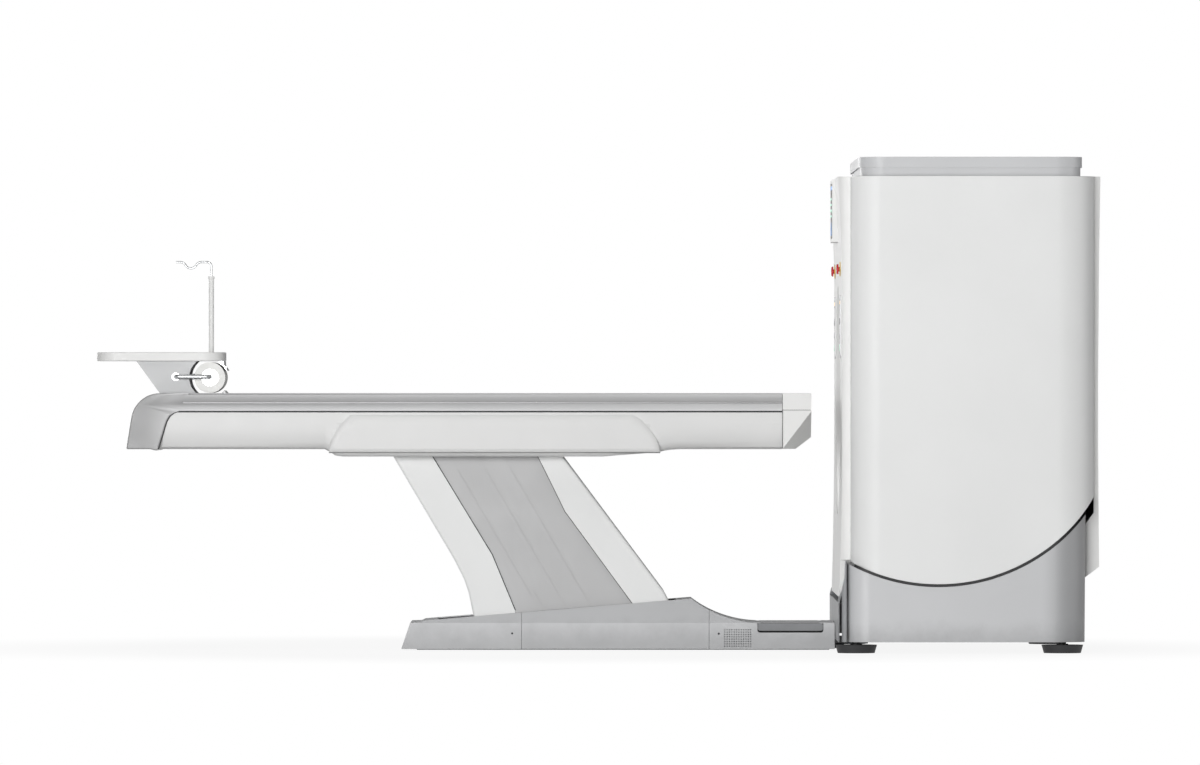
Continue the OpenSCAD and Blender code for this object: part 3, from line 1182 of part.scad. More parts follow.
module paper_roll() at_iso() color([0.97, 0.97, 0.96]) difference() {
  pin_y(-roll_x, roll_z, roll_d / 2, 2 * roll_half - 20);
  pin_y(-roll_x, roll_z, roll_core_d / 2, 2 * roll_half);
}
module paper_cutter() at_iso() color(steel) {
  across(320) polygon([[-2738, tray_h - seat_gap], [-2719, tray_h - seat_gap], [-2719, tray_h - 15],
    [-2706, tray_h - 36], [-2708, tray_h - 37], [-2722, tray_h - 16], [-2731, tray_h - 12]]);
  pin_y(-2712, tray_h - 24, 5, 26, -172);
}
iv_x = 2775;
iv_y = 130;
module iv_tube() at_iso() color(warm_white) translate([-iv_x, iv_y, 0]) rotate_extrude($fn = fine)
  polygon([[0, tray_h + tray_t - 8 + seat_gap], [iv_tube_d / 2 + 8, tray_h + tray_t - 8 + seat_gap],
    [iv_tube_d / 2 + 8, tray_h + tray_t - 3], [iv_tube_d / 2, tray_h + tray_t - 1],
    [iv_tube_d / 2, iv_tube_top], [iv_tube_d / 2 + 2, iv_tube_top], [iv_tube_d / 2 + 2, iv_tube_top + 10],
    [iv_rod_d / 2 + seat_gap, iv_tube_top + 10], [iv_rod_d / 2 + seat_gap, tray_h + tray_t + 10],
    [0, tray_h + tray_t + 10]]);
module arc_rod(x, z, r, from, sweep) translate([x, iv_y, z]) rotate([90, 0, 0]) rotate(from)
  rotate_extrude(angle = sweep, $fn = 64) translate([r, 0]) circle(iv_rod_d / 2, $fn = 24);
module iv_rod() at_iso() color(steel) {
  dip = 24;
  reach = 41;
  half_a = 2 * atan(dip / reach);
  wave_r = reach / (2 * sin(half_a));
  bend = 16;
  translate([-iv_x, iv_y, tray_h + tray_t + 12]) cylinder(h = iv_hook_h - bend - tray_h - tray_t - 12, r = iv_rod_d / 2);
  arc_rod(-iv_x - bend, iv_hook_h - bend, bend, 0, 90);
  start = -iv_x - bend - 22;
  rod_x(start, start + 22, iv_rod_d / 2, iv_y, iv_hook_h);
  arc_rod(start, iv_hook_h - wave_r, wave_r, 90, half_a);
  arc_rod(start - reach, iv_hook_h - dip + wave_r, wave_r, 270 - half_a, 2 * half_a);
  arc_rod(start - 2 * reach, iv_hook_h - wave_r, wave_r, 90 - half_a, half_a);
  // Weld beads between the bends
  for (p = [[-iv_x, iv_hook_h - bend], [-iv_x - bend, iv_hook_h], [start, iv_hook_h],
    [start - reach / 2, iv_hook_h - dip / 2], [start - 1.5 * reach, iv_hook_h - dip / 2], [start - 2 * reach, iv_hook_h]])
    translate([p[0], iv_y, p[1]]) sphere(iv_rod_d / 2 + 0.4, $fn = 24);
  rod_x(start - 2 * reach - 16, start - 2 * reach, iv_rod_d / 2, iv_y, iv_hook_h);
}

gantry_base_frame();
base_cover_left();
base_cover_right();
base_cover_front();
base_panel_rear();
gantry_feet();
trunnion_bearings();
table_base_frame();
table_cover_rear();
table_cover_middle();
table_cover_front();
lift_gearbox();
base_pivot_shafts();
pedal_left();
pedal_right();
rear_arm();
rear_arm_cover();
front_arm();
front_arm_cover();
side_panel_1();
side_panel_2();
side_panel_3();
couch_frame();
couch_under_cover();
couch_top_cover();
nose_cover();
slide_rails();
cradle();
cradle_head();
tray_bracket();
tray();
roll_holder();
paper_cutter();
paper_roll();
iv_tube();
iv_rod();
tilt_frame();
front_cover();
rear_cover();
side_cover_left();
side_cover_right();
roof_cap();
bore_liner();
belly_cover();
display();
control_panels();
stop_housings();
main_bearing();
rotor_motor();
rotor_drum();
xray_tube();
collimator();
detector();
hv_generator();
rotor_power_box();
slip_ring();
stop_front_left();
stop_front_right();
stop_rear_left();
stop_rear_right();
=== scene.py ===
# %% [markdown]
# # A ring scanner with its patient table
# The machine has two halves. A tilting ring with a round bore stands on a low base, and a table on a
# leaning column carries the patient into it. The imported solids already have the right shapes, so this
# lesson dresses them: soft edges on the moulded covers, a finish for every part, and the small things
# that the solids leave out, such as keys, screws, a read-out and seals. The first step loads the solids
# with their record, and notes which body each one rides on.

# %% Load the frame
import json
import math

import bmesh
import bpy
from mathutils import Matrix, Vector


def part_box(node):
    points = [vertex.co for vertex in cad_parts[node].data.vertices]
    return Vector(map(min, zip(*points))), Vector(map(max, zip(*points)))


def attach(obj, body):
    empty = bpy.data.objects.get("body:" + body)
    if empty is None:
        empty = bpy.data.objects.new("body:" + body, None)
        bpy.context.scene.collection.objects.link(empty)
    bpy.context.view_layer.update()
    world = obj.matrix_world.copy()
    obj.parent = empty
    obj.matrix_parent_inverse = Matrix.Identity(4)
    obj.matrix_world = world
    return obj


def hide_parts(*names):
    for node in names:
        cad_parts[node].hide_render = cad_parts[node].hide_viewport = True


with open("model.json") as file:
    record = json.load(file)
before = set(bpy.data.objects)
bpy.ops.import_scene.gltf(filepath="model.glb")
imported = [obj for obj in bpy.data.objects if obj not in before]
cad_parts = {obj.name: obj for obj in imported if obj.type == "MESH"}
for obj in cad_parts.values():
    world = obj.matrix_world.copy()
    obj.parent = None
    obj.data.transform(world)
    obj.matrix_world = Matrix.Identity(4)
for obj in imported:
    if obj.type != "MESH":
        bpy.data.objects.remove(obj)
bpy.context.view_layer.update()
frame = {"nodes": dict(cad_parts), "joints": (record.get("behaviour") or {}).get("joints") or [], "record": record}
RECORD = frame["record"]
BODY_OF = {node: body for body, nodes in RECORD["behaviour"]["bodies"].items() for node in nodes}
MM = 0.001

# %% [markdown]
# ## Landmarks
# The isocentre is the middle of the bore, and the tilt axis runs through it. The machine is laid out
# from there, so most places are said as a distance in millimetres from the isocentre's point on the
# floor: x along the table, y across it, z up. The lift arms' lower pins come from their joints.

# %% Find the landmarks
JOINT_AT = {joint["name"]: joint["pos_m"] for joint in frame["joints"] if "pos_m" in joint}
liner_low, liner_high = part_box("bore_liner")
ISO = Vector((JOINT_AT["gantry_tilt"][0], 0.0, (liner_low.z + liner_high.z) / 2))


def at(x, y, z):
    """Millimetres from the isocentre's floor point, as a place in the scene."""
    return Vector((ISO.x + x * MM, y * MM, z * MM))


def along(x):
    """A place along X in the scene, as millimetres from the isocentre."""
    return (x - ISO.x) / MM


REAR_PIN = along(JOINT_AT["rear_arm_lift"][0])
FRONT_PIN = along(JOINT_AT["table_lift"][0])
PANEL_PIN = along(JOINT_AT["side_panel_3_lift"][0])
PIN_Z = JOINT_AT["table_lift"][2] / MM
ARM_LEAN = math.radians(30.25)
print("isocentre at", tuple(ISO), "lower pins at", REAR_PIN, PANEL_PIN, FRONT_PIN)

# %% [markdown]
# ## Finishes
# Moulded medical covers are sprayed with a satin paint that has a very fine orange peel. Up close the
# tone drifts a little over a metre, and the gloss is slightly uneven. One builder makes that paint: a
# slow noise moves the colour and the gloss, and a fine noise moves the surface. All of it reads Object
# coordinates, which are metres here, so the grain has its real size on every piece.

# %% A builder for sprayed and moulded finishes
def noise(tree, coords, scale, detail=3.0, rough=0.5):
    """A noise texture on the piece's own coordinates."""
    node = tree.nodes.new("ShaderNodeTexNoise")
    node.inputs["Scale"].default_value = scale
    node.inputs["Detail"].default_value = detail
    node.inputs["Roughness"].default_value = rough
    tree.links.new(coords, node.inputs["Vector"])
    return node.outputs["Fac"]


def ramp(tree, fac, low, high, start=0.3, end=0.7):
    """Two colours, blended between two values of fac."""
    node = tree.nodes.new("ShaderNodeValToRGB")
    node.color_ramp.elements[0].position = start
    node.color_ramp.elements[1].position = end
    node.color_ramp.elements[0].color = (*low, 1.0)
    node.color_ramp.elements[1].color = (*high, 1.0)
    tree.links.new(fac, node.inputs["Fac"])
    return node.outputs["Color"]


def spread(tree, fac, low, high):
    """Maps the middle of a noise onto a range."""
    node = tree.nodes.new("ShaderNodeMapRange")
    node.inputs["From Min"].default_value = 0.3
    node.inputs["From Max"].default_value = 0.7
    node.inputs["To Min"].default_value = low
    node.inputs["To Max"].default_value = high
    tree.links.new(fac, node.inputs["Value"])
    return node.outputs["Result"]


def bump(tree, shader, height, strength, distance):
    """Moves the surface by a height, by at most a distance in metres."""
    node = tree.nodes.new("ShaderNodeBump")
    node.inputs["Strength"].default_value = strength
    node.inputs["Distance"].default_value = distance
    tree.links.new(height, node.inputs["Height"])
    tree.links.new(node.outputs["Normal"], shader.inputs["Normal"])


def new_finish(name):
    """An empty material with a shader and the piece's coordinates."""
    made = bpy.data.materials.new(name)
    made.use_nodes = True
    shader = made.node_tree.nodes["Principled BSDF"]
    coords = made.node_tree.nodes.new("ShaderNodeTexCoord").outputs["Object"]
    return made, made.node_tree, shader, coords


def tone(colour, factor):
    """A lighter or darker version of a colour."""
    return tuple(min(1.0, c * factor) for c in colour)


def sprayed(name, colour, gloss=0.36, drift=0.03, peel=0.12, peel_scale=650, coat=0.0):
    """Paint or moulded plastic: slow drift of tone and gloss, fine peel."""
    made, tree, shader, coords = new_finish(name)
    slow = noise(tree, coords, 2.3, 2.0)
    paint = ramp(tree, slow, tone(colour, 1 - drift), tone(colour, 1 + drift * 0.4))
    tree.links.new(paint, shader.inputs["Base Color"])
    rough = spread(tree, noise(tree, coords, 9.0), gloss - 0.04, gloss + 0.05)
    tree.links.new(rough, shader.inputs["Roughness"])
    bump(tree, shader, noise(tree, coords, peel_scale, 2.0), peel, 0.0002)
    if coat:
        shader.inputs["Coat Weight"].default_value = coat
        shader.inputs["Coat Roughness"].default_value = 0.12
    return made


print("paint builder ready")

# %% [markdown]
# Bare steel and machined alloy need a direction. Turned and ground parts show fine parallel lines, so
# a noise that is stretched along one axis drives both the tone and the roughness.

# %% A builder for bare metal
def brushed(name, colour, gloss=0.28, lines_along=(1.0, 40.0, 40.0)):
    """Ground metal: fine lines, drawn out along the axis with the smallest scale."""
    made, tree, shader, coords = new_finish(name)
    stretch = tree.nodes.new("ShaderNodeMapping")
    stretch.inputs["Scale"].default_value = lines_along
    tree.links.new(coords, stretch.inputs["Vector"])
    lines = noise(tree, stretch.outputs["Vector"], 30.0, 4.0, 0.6)
    tree.links.new(ramp(tree, lines, tone(colour, 0.86), tone(colour, 1.06)), shader.inputs["Base Color"])
    tree.links.new(spread(tree, lines, gloss - 0.08, gloss + 0.12), shader.inputs["Roughness"])
    bump(tree, shader, lines, 0.15, 0.0001)
    shader.inputs["Metallic"].default_value = 1.0
    return made


print("metal builder ready")

# %% [markdown]
# The base covers live near the floor, where shoes and mops leave a faint grey bloom. A gradient on
# height, broken up by noise, darkens only their lowest few centimetres.

# %% Paint that is scuffed near the floor
def floor_worn(name, colour, gloss=0.42, reach=0.09, wear=0.72):
    """Paint that darkens by wear in the lowest reach metres, broken up by noise."""
    made, tree, shader, coords = new_finish(name)
    split = tree.nodes.new("ShaderNodeSeparateXYZ")
    tree.links.new(coords, split.inputs["Vector"])
    wander = tree.nodes.new("ShaderNodeMath")
    wander.operation = "MULTIPLY_ADD"
    tree.links.new(noise(tree, coords, 14.0, 4.0, 0.6), wander.inputs[0])
    wander.inputs[1].default_value = -reach
    tree.links.new(split.outputs["Z"], wander.inputs[2])
    fade = tree.nodes.new("ShaderNodeMapRange")
    fade.interpolation_type = "SMOOTHSTEP"
    fade.inputs["From Min"].default_value = -reach * 0.4
    fade.inputs["From Max"].default_value = reach
    tree.links.new(wander.outputs["Value"], fade.inputs["Value"])
    clean = ramp(tree, noise(tree, coords, 2.3, 2.0), tone(colour, 0.975), tone(colour, 1.01))
    mix = tree.nodes.new("ShaderNodeMix")
    mix.data_type = "RGBA"
    mix.inputs["A"].default_value = (*tone(colour, wear), 1.0)
    tree.links.new(fade.outputs["Result"], mix.inputs["Factor"])
    tree.links.new(clean, mix.inputs["B"])
    tree.links.new(mix.outputs["Result"], shader.inputs["Base Color"])
    rough = spread(tree, noise(tree, coords, 11.0), gloss - 0.05, gloss + 0.08)
    tree.links.new(rough, shader.inputs["Roughness"])
    bump(tree, shader, noise(tree, coords, 620, 2.0), 0.14, 0.0002)
    return made


print("worn paint builder ready")

# %% [markdown]
# Two greys are darkened along the machine. The table's top cover is darker towards its foot end, and
# the side covers of the base are darker towards the rear, a painted shade of their rounded rear corners
# turning away from the lamp. A place along X darkens the paint there.

# %% A finish that deepens along the machine
def deepening(made, deep, x_light, x_deep):
    """A finish whose tone falls from one place along X to another."""
    tree = made.node_tree
    shader = tree.nodes["Principled BSDF"]
    pale = shader.inputs["Base Color"].links[0].from_socket
    split = tree.nodes.new("ShaderNodeSeparateXYZ")
    coords = next(n for n in tree.nodes if n.type == "TEX_COORD").outputs["Object"]
    tree.links.new(coords, split.inputs["Vector"])
    fall = tree.nodes.new("ShaderNodeMapRange")
    fall.interpolation_type = "SMOOTHSTEP"
    fall.inputs["From Min"].default_value = x_light
    fall.inputs["From Max"].default_value = x_deep
    tree.links.new(split.outputs["X"], fall.inputs["Value"])
    mix = tree.nodes.new("ShaderNodeMix")
    mix.data_type = "RGBA"
    mix.blend_type = "MULTIPLY"
    tree.links.new(fall.outputs["Result"], mix.inputs["Factor"])
    tree.links.new(pale, mix.inputs["A"])
    mix.inputs["B"].default_value = (deep, deep, deep, 1.0)
    tree.links.new(mix.outputs["Result"], shader.inputs["Base Color"])
    return made


top_grey = sprayed("table_top_cover_grey", (0.62, 0.62, 0.625), gloss=0.40)
TOP_COVER = deepening(top_grey, 0.50, ISO.x - 2.85, ISO.x - 3.03)
side_grey = floor_worn("base_side_grey", (0.57, 0.575, 0.585))
# Painted shade: the side covers of the base darken over their rounded rear corners.
BASE_COVER = deepening(side_grey, 0.62, ISO.x + 0.38, ISO.x + 0.50)
print("deepening paint ready")

# %% [markdown]
# ## One finish for each slot
# The record names the finish slot of every node. The colours are linear, so a pale grey of about 0.55
# here is the light grey of the base covers. Five pieces differ a little from the rest of their slot.

# %% Make the finishes
# A darker copy of the white for the table's under cover: painted shade that keeps it below the gantry's white
# under the same lamps.
UNDER_COVER = sprayed("table_white_cover", (0.73, 0.73, 0.725), gloss=0.5)
FINISH = {
    "cover_white": sprayed("satin_white_cover", (0.80, 0.805, 0.80), gloss=0.50),
    "cover_warm": sprayed("satin_warm_white_cover", (0.79, 0.79, 0.78), gloss=0.50),
    "base_grey": floor_worn("satin_base_grey", (0.56, 0.565, 0.575)),
    "trim_grey": floor_worn("satin_trim_grey", (0.22, 0.225, 0.235)),
    "panel_grey": sprayed("lift_panel_grey", (0.455, 0.455, 0.458), gloss=0.40),
    "frame_paint": sprayed("weldment_paint", (0.10, 0.115, 0.14), gloss=0.45, peel=0.3, peel_scale=300),
    "steel": brushed("ground_steel", (0.60, 0.61, 0.62)),
    "rotor_alloy": brushed("machined_alloy", (0.58, 0.60, 0.62), gloss=0.32, lines_along=(30.0, 1.0, 30.0)),
    "copper_track": brushed("contact_rings", (0.72, 0.42, 0.22), gloss=0.22),
    "unit_paint": sprayed("unit_housing_paint", (0.14, 0.17, 0.21), gloss=0.4, peel=0.3, peel_scale=400),
    "foot_rubber": sprayed("foot_rubber", (0.022, 0.022, 0.024), gloss=0.62, drift=0.2, peel=0.4,
                           peel_scale=220),
    "carbon_bed": sprayed("bed_gelcoat", (0.62, 0.62, 0.63), gloss=0.24, coat=0.3),
    "bracket_grey": sprayed("bracket_grey_paint", (0.50, 0.505, 0.51), gloss=0.4),
    "paper": sprayed("roll_paper", (0.86, 0.86, 0.84), gloss=0.85, drift=0.02, peel=0.35, peel_scale=900),
    "screen_black": sprayed("screen_black", (0.012, 0.013, 0.016), gloss=0.12, peel=0.0, coat=0.6),
    "panel_white": sprayed("key_plate_white", (0.74, 0.745, 0.75), gloss=0.26),
    "collar_yellow": sprayed("collar_yellow", (0.80, 0.50, 0.03), gloss=0.3),
    "stop_red": sprayed("stop_button_red", (0.55, 0.012, 0.018), gloss=0.22, coat=0.4),
}
SLOT_OF = {part["node"]: part["material_slot"] for part in RECORD["subparts"]}
OWN_FINISH = {
    "display": FINISH["cover_warm"],
    "couch_top_cover": TOP_COVER,
    "couch_under_cover": UNDER_COVER,
    "base_cover_left": BASE_COVER,
    "base_cover_right": BASE_COVER,
}


def finish_of(node):
    """The finish of a node: its own, or else its slot's."""
    return OWN_FINISH.get(node, FINISH[SLOT_OF[node]])


print("finishes", len(FINISH))

# %% [markdown]
# ## Soft edges
# No moulded cover has a knife edge: each corner is a small radius that catches a thin line of light.
# A merged copy of the solid takes a Bevel modifier that works only on real corners, and the copy
# stands for the solid. The solid itself stays as it is for collision. The outer rims of the lift arms'
# covers and of the table's foot end have a larger radius than the rest, which is cut into the copy.
# The table's under cover is all soft curves, so it needs no bevel, only a limit on what is smooth.
# Weighted normals then keep the flat faces flat, so that the rounding shows at the edges alone.

# %% Dress the solids
# Edge radius of each dressed piece in millimetres
SOFT = {
    "side_cover_left": 5.0, "side_cover_right": 5.0, "roof_cap": 4.0, "front_cover": 2.5,
    "rear_cover": 2.5, "base_cover_left": 4.0, "base_cover_right": 4.0, "base_cover_front": 2.0,
    "base_panel_rear": 2.0, "rear_arm_cover": 0.8, "front_arm_cover": 0.8, "table_cover_rear": 2.0,
    "table_cover_middle": 2.0, "couch_top_cover": 0.8, "nose_cover": 2.5, "couch_under_cover": 0.0,
    "cradle": 1.5, "cradle_head": 2.0, "tray": 4.0, "tray_bracket": 1.5, "display": 3.0,
    "pedal_left": 3.0, "pedal_right": 3.0, "paper_cutter": 0.4,
}
ARM_HALF = 193.5
COUCH_HALF = 309.5
FOOT_BEND = -2890


def across_arm(point, pin_x):
    """How far a place lies across a lift arm's line, in millimetres, towards the gantry."""
    return (along(point.x) - pin_x) * math.cos(ARM_LEAN) + (point.z / MM - PIN_Z) * math.sin(ARM_LEAN)


def outside(point, half):
    """Whether a place lies farther from the middle plane than half millimetres."""
    return abs(point.y) > half * MM


# Rims with a larger radius than the rest: which places belong to them, and the radius
RIMS = {
    "rear_arm_cover": (lambda p: outside(p, ARM_HALF) and across_arm(p, REAR_PIN) < -30, 10.0),
    "front_arm_cover": (lambda p: outside(p, ARM_HALF) and across_arm(p, FRONT_PIN) > 8, 10.0),
    "couch_top_cover": (lambda p: outside(p, COUCH_HALF) and along(p.x) < FOOT_BEND, 6.0),
}

# The round edge of the side base covers, about the tilt axis, and how far its gap is opened
ARC_EDGES = ("base_cover_left", "base_cover_right")
ARC_RADIUS = 700
ARC_OPENING = 4


def open_arc(bm):
    """Moves a base cover's round upper edge outwards, where the moulded edge is rounded over."""
    for v in bm.verts:
        reach = Vector((v.co.x - ISO.x, 0.0, v.co.z - ISO.z))
        if abs(reach.length - ARC_RADIUS * MM) < 0.0015 and reach.z < 0:
            v.co += reach.normalized() * ARC_OPENING * MM


def smooth_copy(node):
    """A merged copy of a solid's mesh, with its flat areas joined up and its rims rounded."""
    bm = bmesh.new()
    bm.from_mesh(frame["nodes"][node].data)
    bmesh.ops.remove_doubles(bm, verts=bm.verts, dist=2e-5)
    bmesh.ops.dissolve_limit(bm, angle_limit=math.radians(0.4), use_dissolve_boundaries=False,
                             verts=bm.verts, edges=bm.edges)
    if node in RIMS:
        belongs, radius = RIMS[node]
        rim = [e for e in bm.edges if e.is_manifold and e.calc_face_angle(0.0) > math.radians(25)
               and all(belongs(v.co) for v in e.verts)]
        bmesh.ops.bevel(bm, geom=rim, offset=radius * MM, offset_type="OFFSET", segments=4, profile=0.5,
                        affect="EDGES", clamp_overlap=False, material=-1)
        print(node, "rim edges", len(rim))
    if node in ARC_EDGES:
        open_arc(bm)
    mesh = bpy.data.meshes.new(node + "_dressed")
    bm.to_mesh(mesh)
    bm.free()
    return mesh


def place(name, mesh, finish, body):
    """A finished piece that rides on a body."""
    obj = bpy.data.objects.new(name, mesh)
    bpy.context.scene.collection.objects.link(obj)
    mesh.materials.clear()
    mesh.materials.append(finish)
    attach(obj, body)
    return obj


for node, radius in SOFT.items():
    mesh = smooth_copy(node)
    mesh.shade_smooth()
    piece = place(node + "_dressed", mesh, finish_of(node), BODY_OF[node])
    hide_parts(node)
    if radius:
        edge = piece.modifiers.new("soft_edges", "BEVEL")
        edge.width = radius * MM
        edge.segments = 3
        edge.limit_method = "ANGLE"
        edge.angle_limit = math.radians(32)
        edge.use_clamp_overlap = True
    else:
        mesh.set_sharp_from_angle(angle=math.radians(24))
    even = piece.modifiers.new("even_normals", "WEIGHTED_NORMAL")
    even.weight = 90
    even.keep_sharp = True
for node, solid in frame["nodes"].items():
    if not solid.material_slots:
        solid.data.materials.append(None)
    for slot in solid.material_slots:
        slot.link = "OBJECT"
        slot.material = finish_of(node)
print("dressed", len(SOFT), "covers and", len(frame["nodes"]) - len(SOFT), "bare solids")

# %% [markdown]
# ## Helpers for small pieces
# Four shapes cover all the small pieces: a block with soft edges, a ribbon that follows a joint, a plate
# with a flat outline, and a domed disc. What lies on the lift arms is laid out in the arm's own plane,
# across the arm and along it from its lower pin.

# %% Blocks, ribbons, plates and discs
def finished(name, bm, finish, body, sharp=None):
    """Turns a bmesh into a finished piece on a body, smooth up to an angle in degrees if one is given."""
    mesh = bpy.data.meshes.new(name)
    bm.to_mesh(mesh)
    bm.free()
    if sharp:
        mesh.shade_smooth()
        mesh.set_sharp_from_angle(angle=math.radians(sharp))
    return place(name, mesh, finish, body)


def block(name, low, high, radius, finish, body, segments=2):
    """A block between two corners, all its edges rounded."""
    bm = bmesh.new()
    bmesh.ops.create_cube(bm, size=1.0)
    a, b = at(*low), at(*high)
    size = Vector([abs(b[i] - a[i]) for i in range(3)])
    for v in bm.verts:
        v.co = Vector([(a[i] + b[i]) / 2 + v.co[i] * size[i] for i in range(3)])
    if radius:
        bmesh.ops.bevel(bm, geom=list(bm.edges), offset=radius * MM, offset_type="OFFSET",
                        segments=segments, profile=0.5, affect="EDGES", clamp_overlap=True, material=-1)
    return finished(name, bm, finish, body, sharp=40)


def ribbon(name, path, half, y_from, y_to, finish, body, pull=None):
    """A strip that follows a path in the XZ plane, between two distances from the middle plane.

    pull(x) draws both distances in towards the middle plane, where the cover beside it is rounded.
    """
    bm = bmesh.new()
    rows = []
    count = len(path)
    for k, (x, z) in enumerate(path):
        ahead = path[min(k + 1, count - 1)]
        behind = path[max(k - 1, 0)]
        run = Vector((ahead[0] - behind[0], ahead[1] - behind[1])).normalized()
        side = Vector((-run.y, run.x)) * half
        inward = -math.copysign(pull(x), y_to) if pull else 0.0
        rows.append([bm.verts.new(at(x + s * side.x, y + inward, z + s * side.y))
                     for s, y in ((-1, y_from), (1, y_from), (1, y_to), (-1, y_to))])
    for a, b in zip(rows, rows[1:]):
        for i in range(4):
            bm.faces.new((a[i], a[(i + 1) % 4], b[(i + 1) % 4], b[i]))
    bm.faces.new(rows[0][::-1])
    bm.faces.new(rows[-1])
    bmesh.ops.recalc_face_normals(bm, faces=bm.faces)
    return finished(name, bm, finish, body)


def plate(name, outline, y_from, y_to, finish, body):
    """A flat sheet: an outline of (x, z) places, between two distances from the middle plane."""
    bm = bmesh.new()
    near = [bm.verts.new(at(x, y_from, z)) for x, z in outline]
    far = [bm.verts.new(at(x, y_to, z)) for x, z in outline]
    bm.faces.new(near)
    bm.faces.new(far[::-1])
    for k in range(len(outline)):
        bm.faces.new((near[k], near[(k + 1) % len(outline)], far[(k + 1) % len(outline)], far[k]))
    bmesh.ops.recalc_face_normals(bm, faces=bm.faces)
    return finished(name, bm, finish, body)


def in_arm_plane(pin_x, points):
    """Turns places across and along a lift arm, from its lower pin, into (x, z) places."""
    run, rise = math.cos(ARM_LEAN), math.sin(ARM_LEAN)
    return [(pin_x + u * run - v * rise, PIN_Z + u * rise + v * run) for u, v in points]


def disc(name, centre, radius, depth, axis, finish, body, dome=0.0, sides=32):
    """A round button whose outer face looks along axis, with a soft rim."""
    bm = bmesh.new()
    bmesh.ops.create_cone(bm, cap_ends=True, segments=sides, radius1=radius * MM, radius2=radius * MM,
                          depth=depth * MM)
    rim = [e for e in bm.edges if all(v.co.z > 0 for v in e.verts)]
    bmesh.ops.bevel(bm, geom=rim, offset=min(depth, radius) * 0.35 * MM, offset_type="OFFSET", segments=2,
                    profile=0.5, affect="EDGES", clamp_overlap=True, material=-1)
    if dome:
        top = max(bm.faces, key=lambda f: f.calc_center_median().z)
        bmesh.ops.inset_individual(bm, faces=[top], thickness=radius * 0.3 * MM)
        for v in top.verts:
            v.co.z += dome * MM
    turn = Vector(axis).to_track_quat("Z", "Y").to_matrix().to_4x4()
    bmesh.ops.transform(bm, matrix=Matrix.Translation(at(*centre)) @ turn, verts=bm.verts)
    return finished(name, bm, finish, body, sharp=40)


print("helpers ready")

# %% [markdown]
# ## Seals and gap shade
# Black rubber shows at every joint between the table's covers. Along the round gap that lets the ring
# tilt over its base, a dark strip is painted shade for the inside of the gap. The strips lie in those
# joints and follow the same lines. The round one keeps to the base covers where their upright corners
# turn inwards.

# %% Lay the seals
BASE_FRONT, BASE_REAR = -346, 555
FRONT_CORNER, REAR_CORNER = 90.0, 120.0
GAP_SHADE_ARC = 698.5
BAND_Z = 910.7
SIDE_NAMES = {-1: "right", 1: "left"}


def corner_pull(x):
    """How far the base covers' upright corners lie inside their flat side, at a place along X."""
    past = max(x - (BASE_REAR - REAR_CORNER), (BASE_FRONT + FRONT_CORNER) - x, 0.0)
    radius = REAR_CORNER if x > 0 else FRONT_CORNER
    return radius - math.sqrt(max(radius ** 2 - past ** 2, 0.0))


def arc_place(degrees):
    """A place on the round gap, at an angle from straight below the tilt axis."""
    turn = math.radians(degrees)
    return (GAP_SHADE_ARC * math.sin(turn), ISO.z / MM - GAP_SHADE_ARC * math.cos(turn))


# Black rubber for the seals and pedal ribs; the same black is also painted shade in gaps, recesses and openings.
SEAL_AND_SHADE = sprayed("seal_rubber_and_shade", (0.012, 0.012, 0.013), gloss=0.55, drift=0.2, peel=0.3, peel_scale=500)
# The joint between the under cover and the foot end, from its lower edge up to the band
FOOT_EDGE = [(-2964.5, 767), (-2955.5, 797), (-2944.5, 833), (-2932.5, 872), (-2920.5, 893),
             (-2904.5, 906), (-2888.5, 911.5)]
BAND = [(-2890, BAND_Z), (-1700, BAND_Z), (-580, BAND_Z)]
NOSE_SEAM = [(-579.8, 771), (-579.8, 850), (-579.8, 977)]
NOSE_LINE = [(-579, 916.6), (-520, 916.6), (-472, 916.6)]
ROUND_GAP = [arc_place(degrees) for degrees in range(-27, 51)]
for side, name in SIDE_NAMES.items():
    inner = side * 300
    ribbon(f"band_seal_{name}", BAND, 3.1, inner, side * 308.4, SEAL_AND_SHADE, "couch")
    ribbon(f"foot_seal_{name}", FOOT_EDGE, 2.4, inner, side * 308.4, SEAL_AND_SHADE, "couch")
    # Painted shade: a dark strip inside the round gap over the base.
    ribbon(f"tilt_gap_shade_{name}", ROUND_GAP, 5.0, side * 930, side * 977, SEAL_AND_SHADE, "base", pull=corner_pull)
    ribbon(f"nose_seam_{name}", NOSE_SEAM, 0.8, inner, side * 310.5, SEAL_AND_SHADE, "couch")
    ribbon(f"nose_line_{name}", NOSE_LINE, 0.8, inner, side * 307.6, SEAL_AND_SHADE, "couch")
print("seals laid")

# %% [markdown]
# ## Closing the column and the bases
# Grey panels slide between the arms' white covers, and a thin black line runs down each cover's inner
# edge, a painted shadow of the gap there. Behind the lines, small aprons overlap the panels, so that no
# light shows past them. Dark pans close the openings in the two bases from below, and a dark strip
# stands behind each foot pedal; both are painted shade for the insides of the bases.

# %% Lips, aprons and pans
REAR_SHADOW_LINE = [(54, 12), (70, 128), (85.5, 241), (81, 460), (77.5, 680), (77.5, 786)]
FRONT_SHADOW_LINE = [(-16, 14), (-29.5, 94), (-52, 310), (-74.5, 525), (-66, 640), (-58.5, 754), (-58.5, 786)]
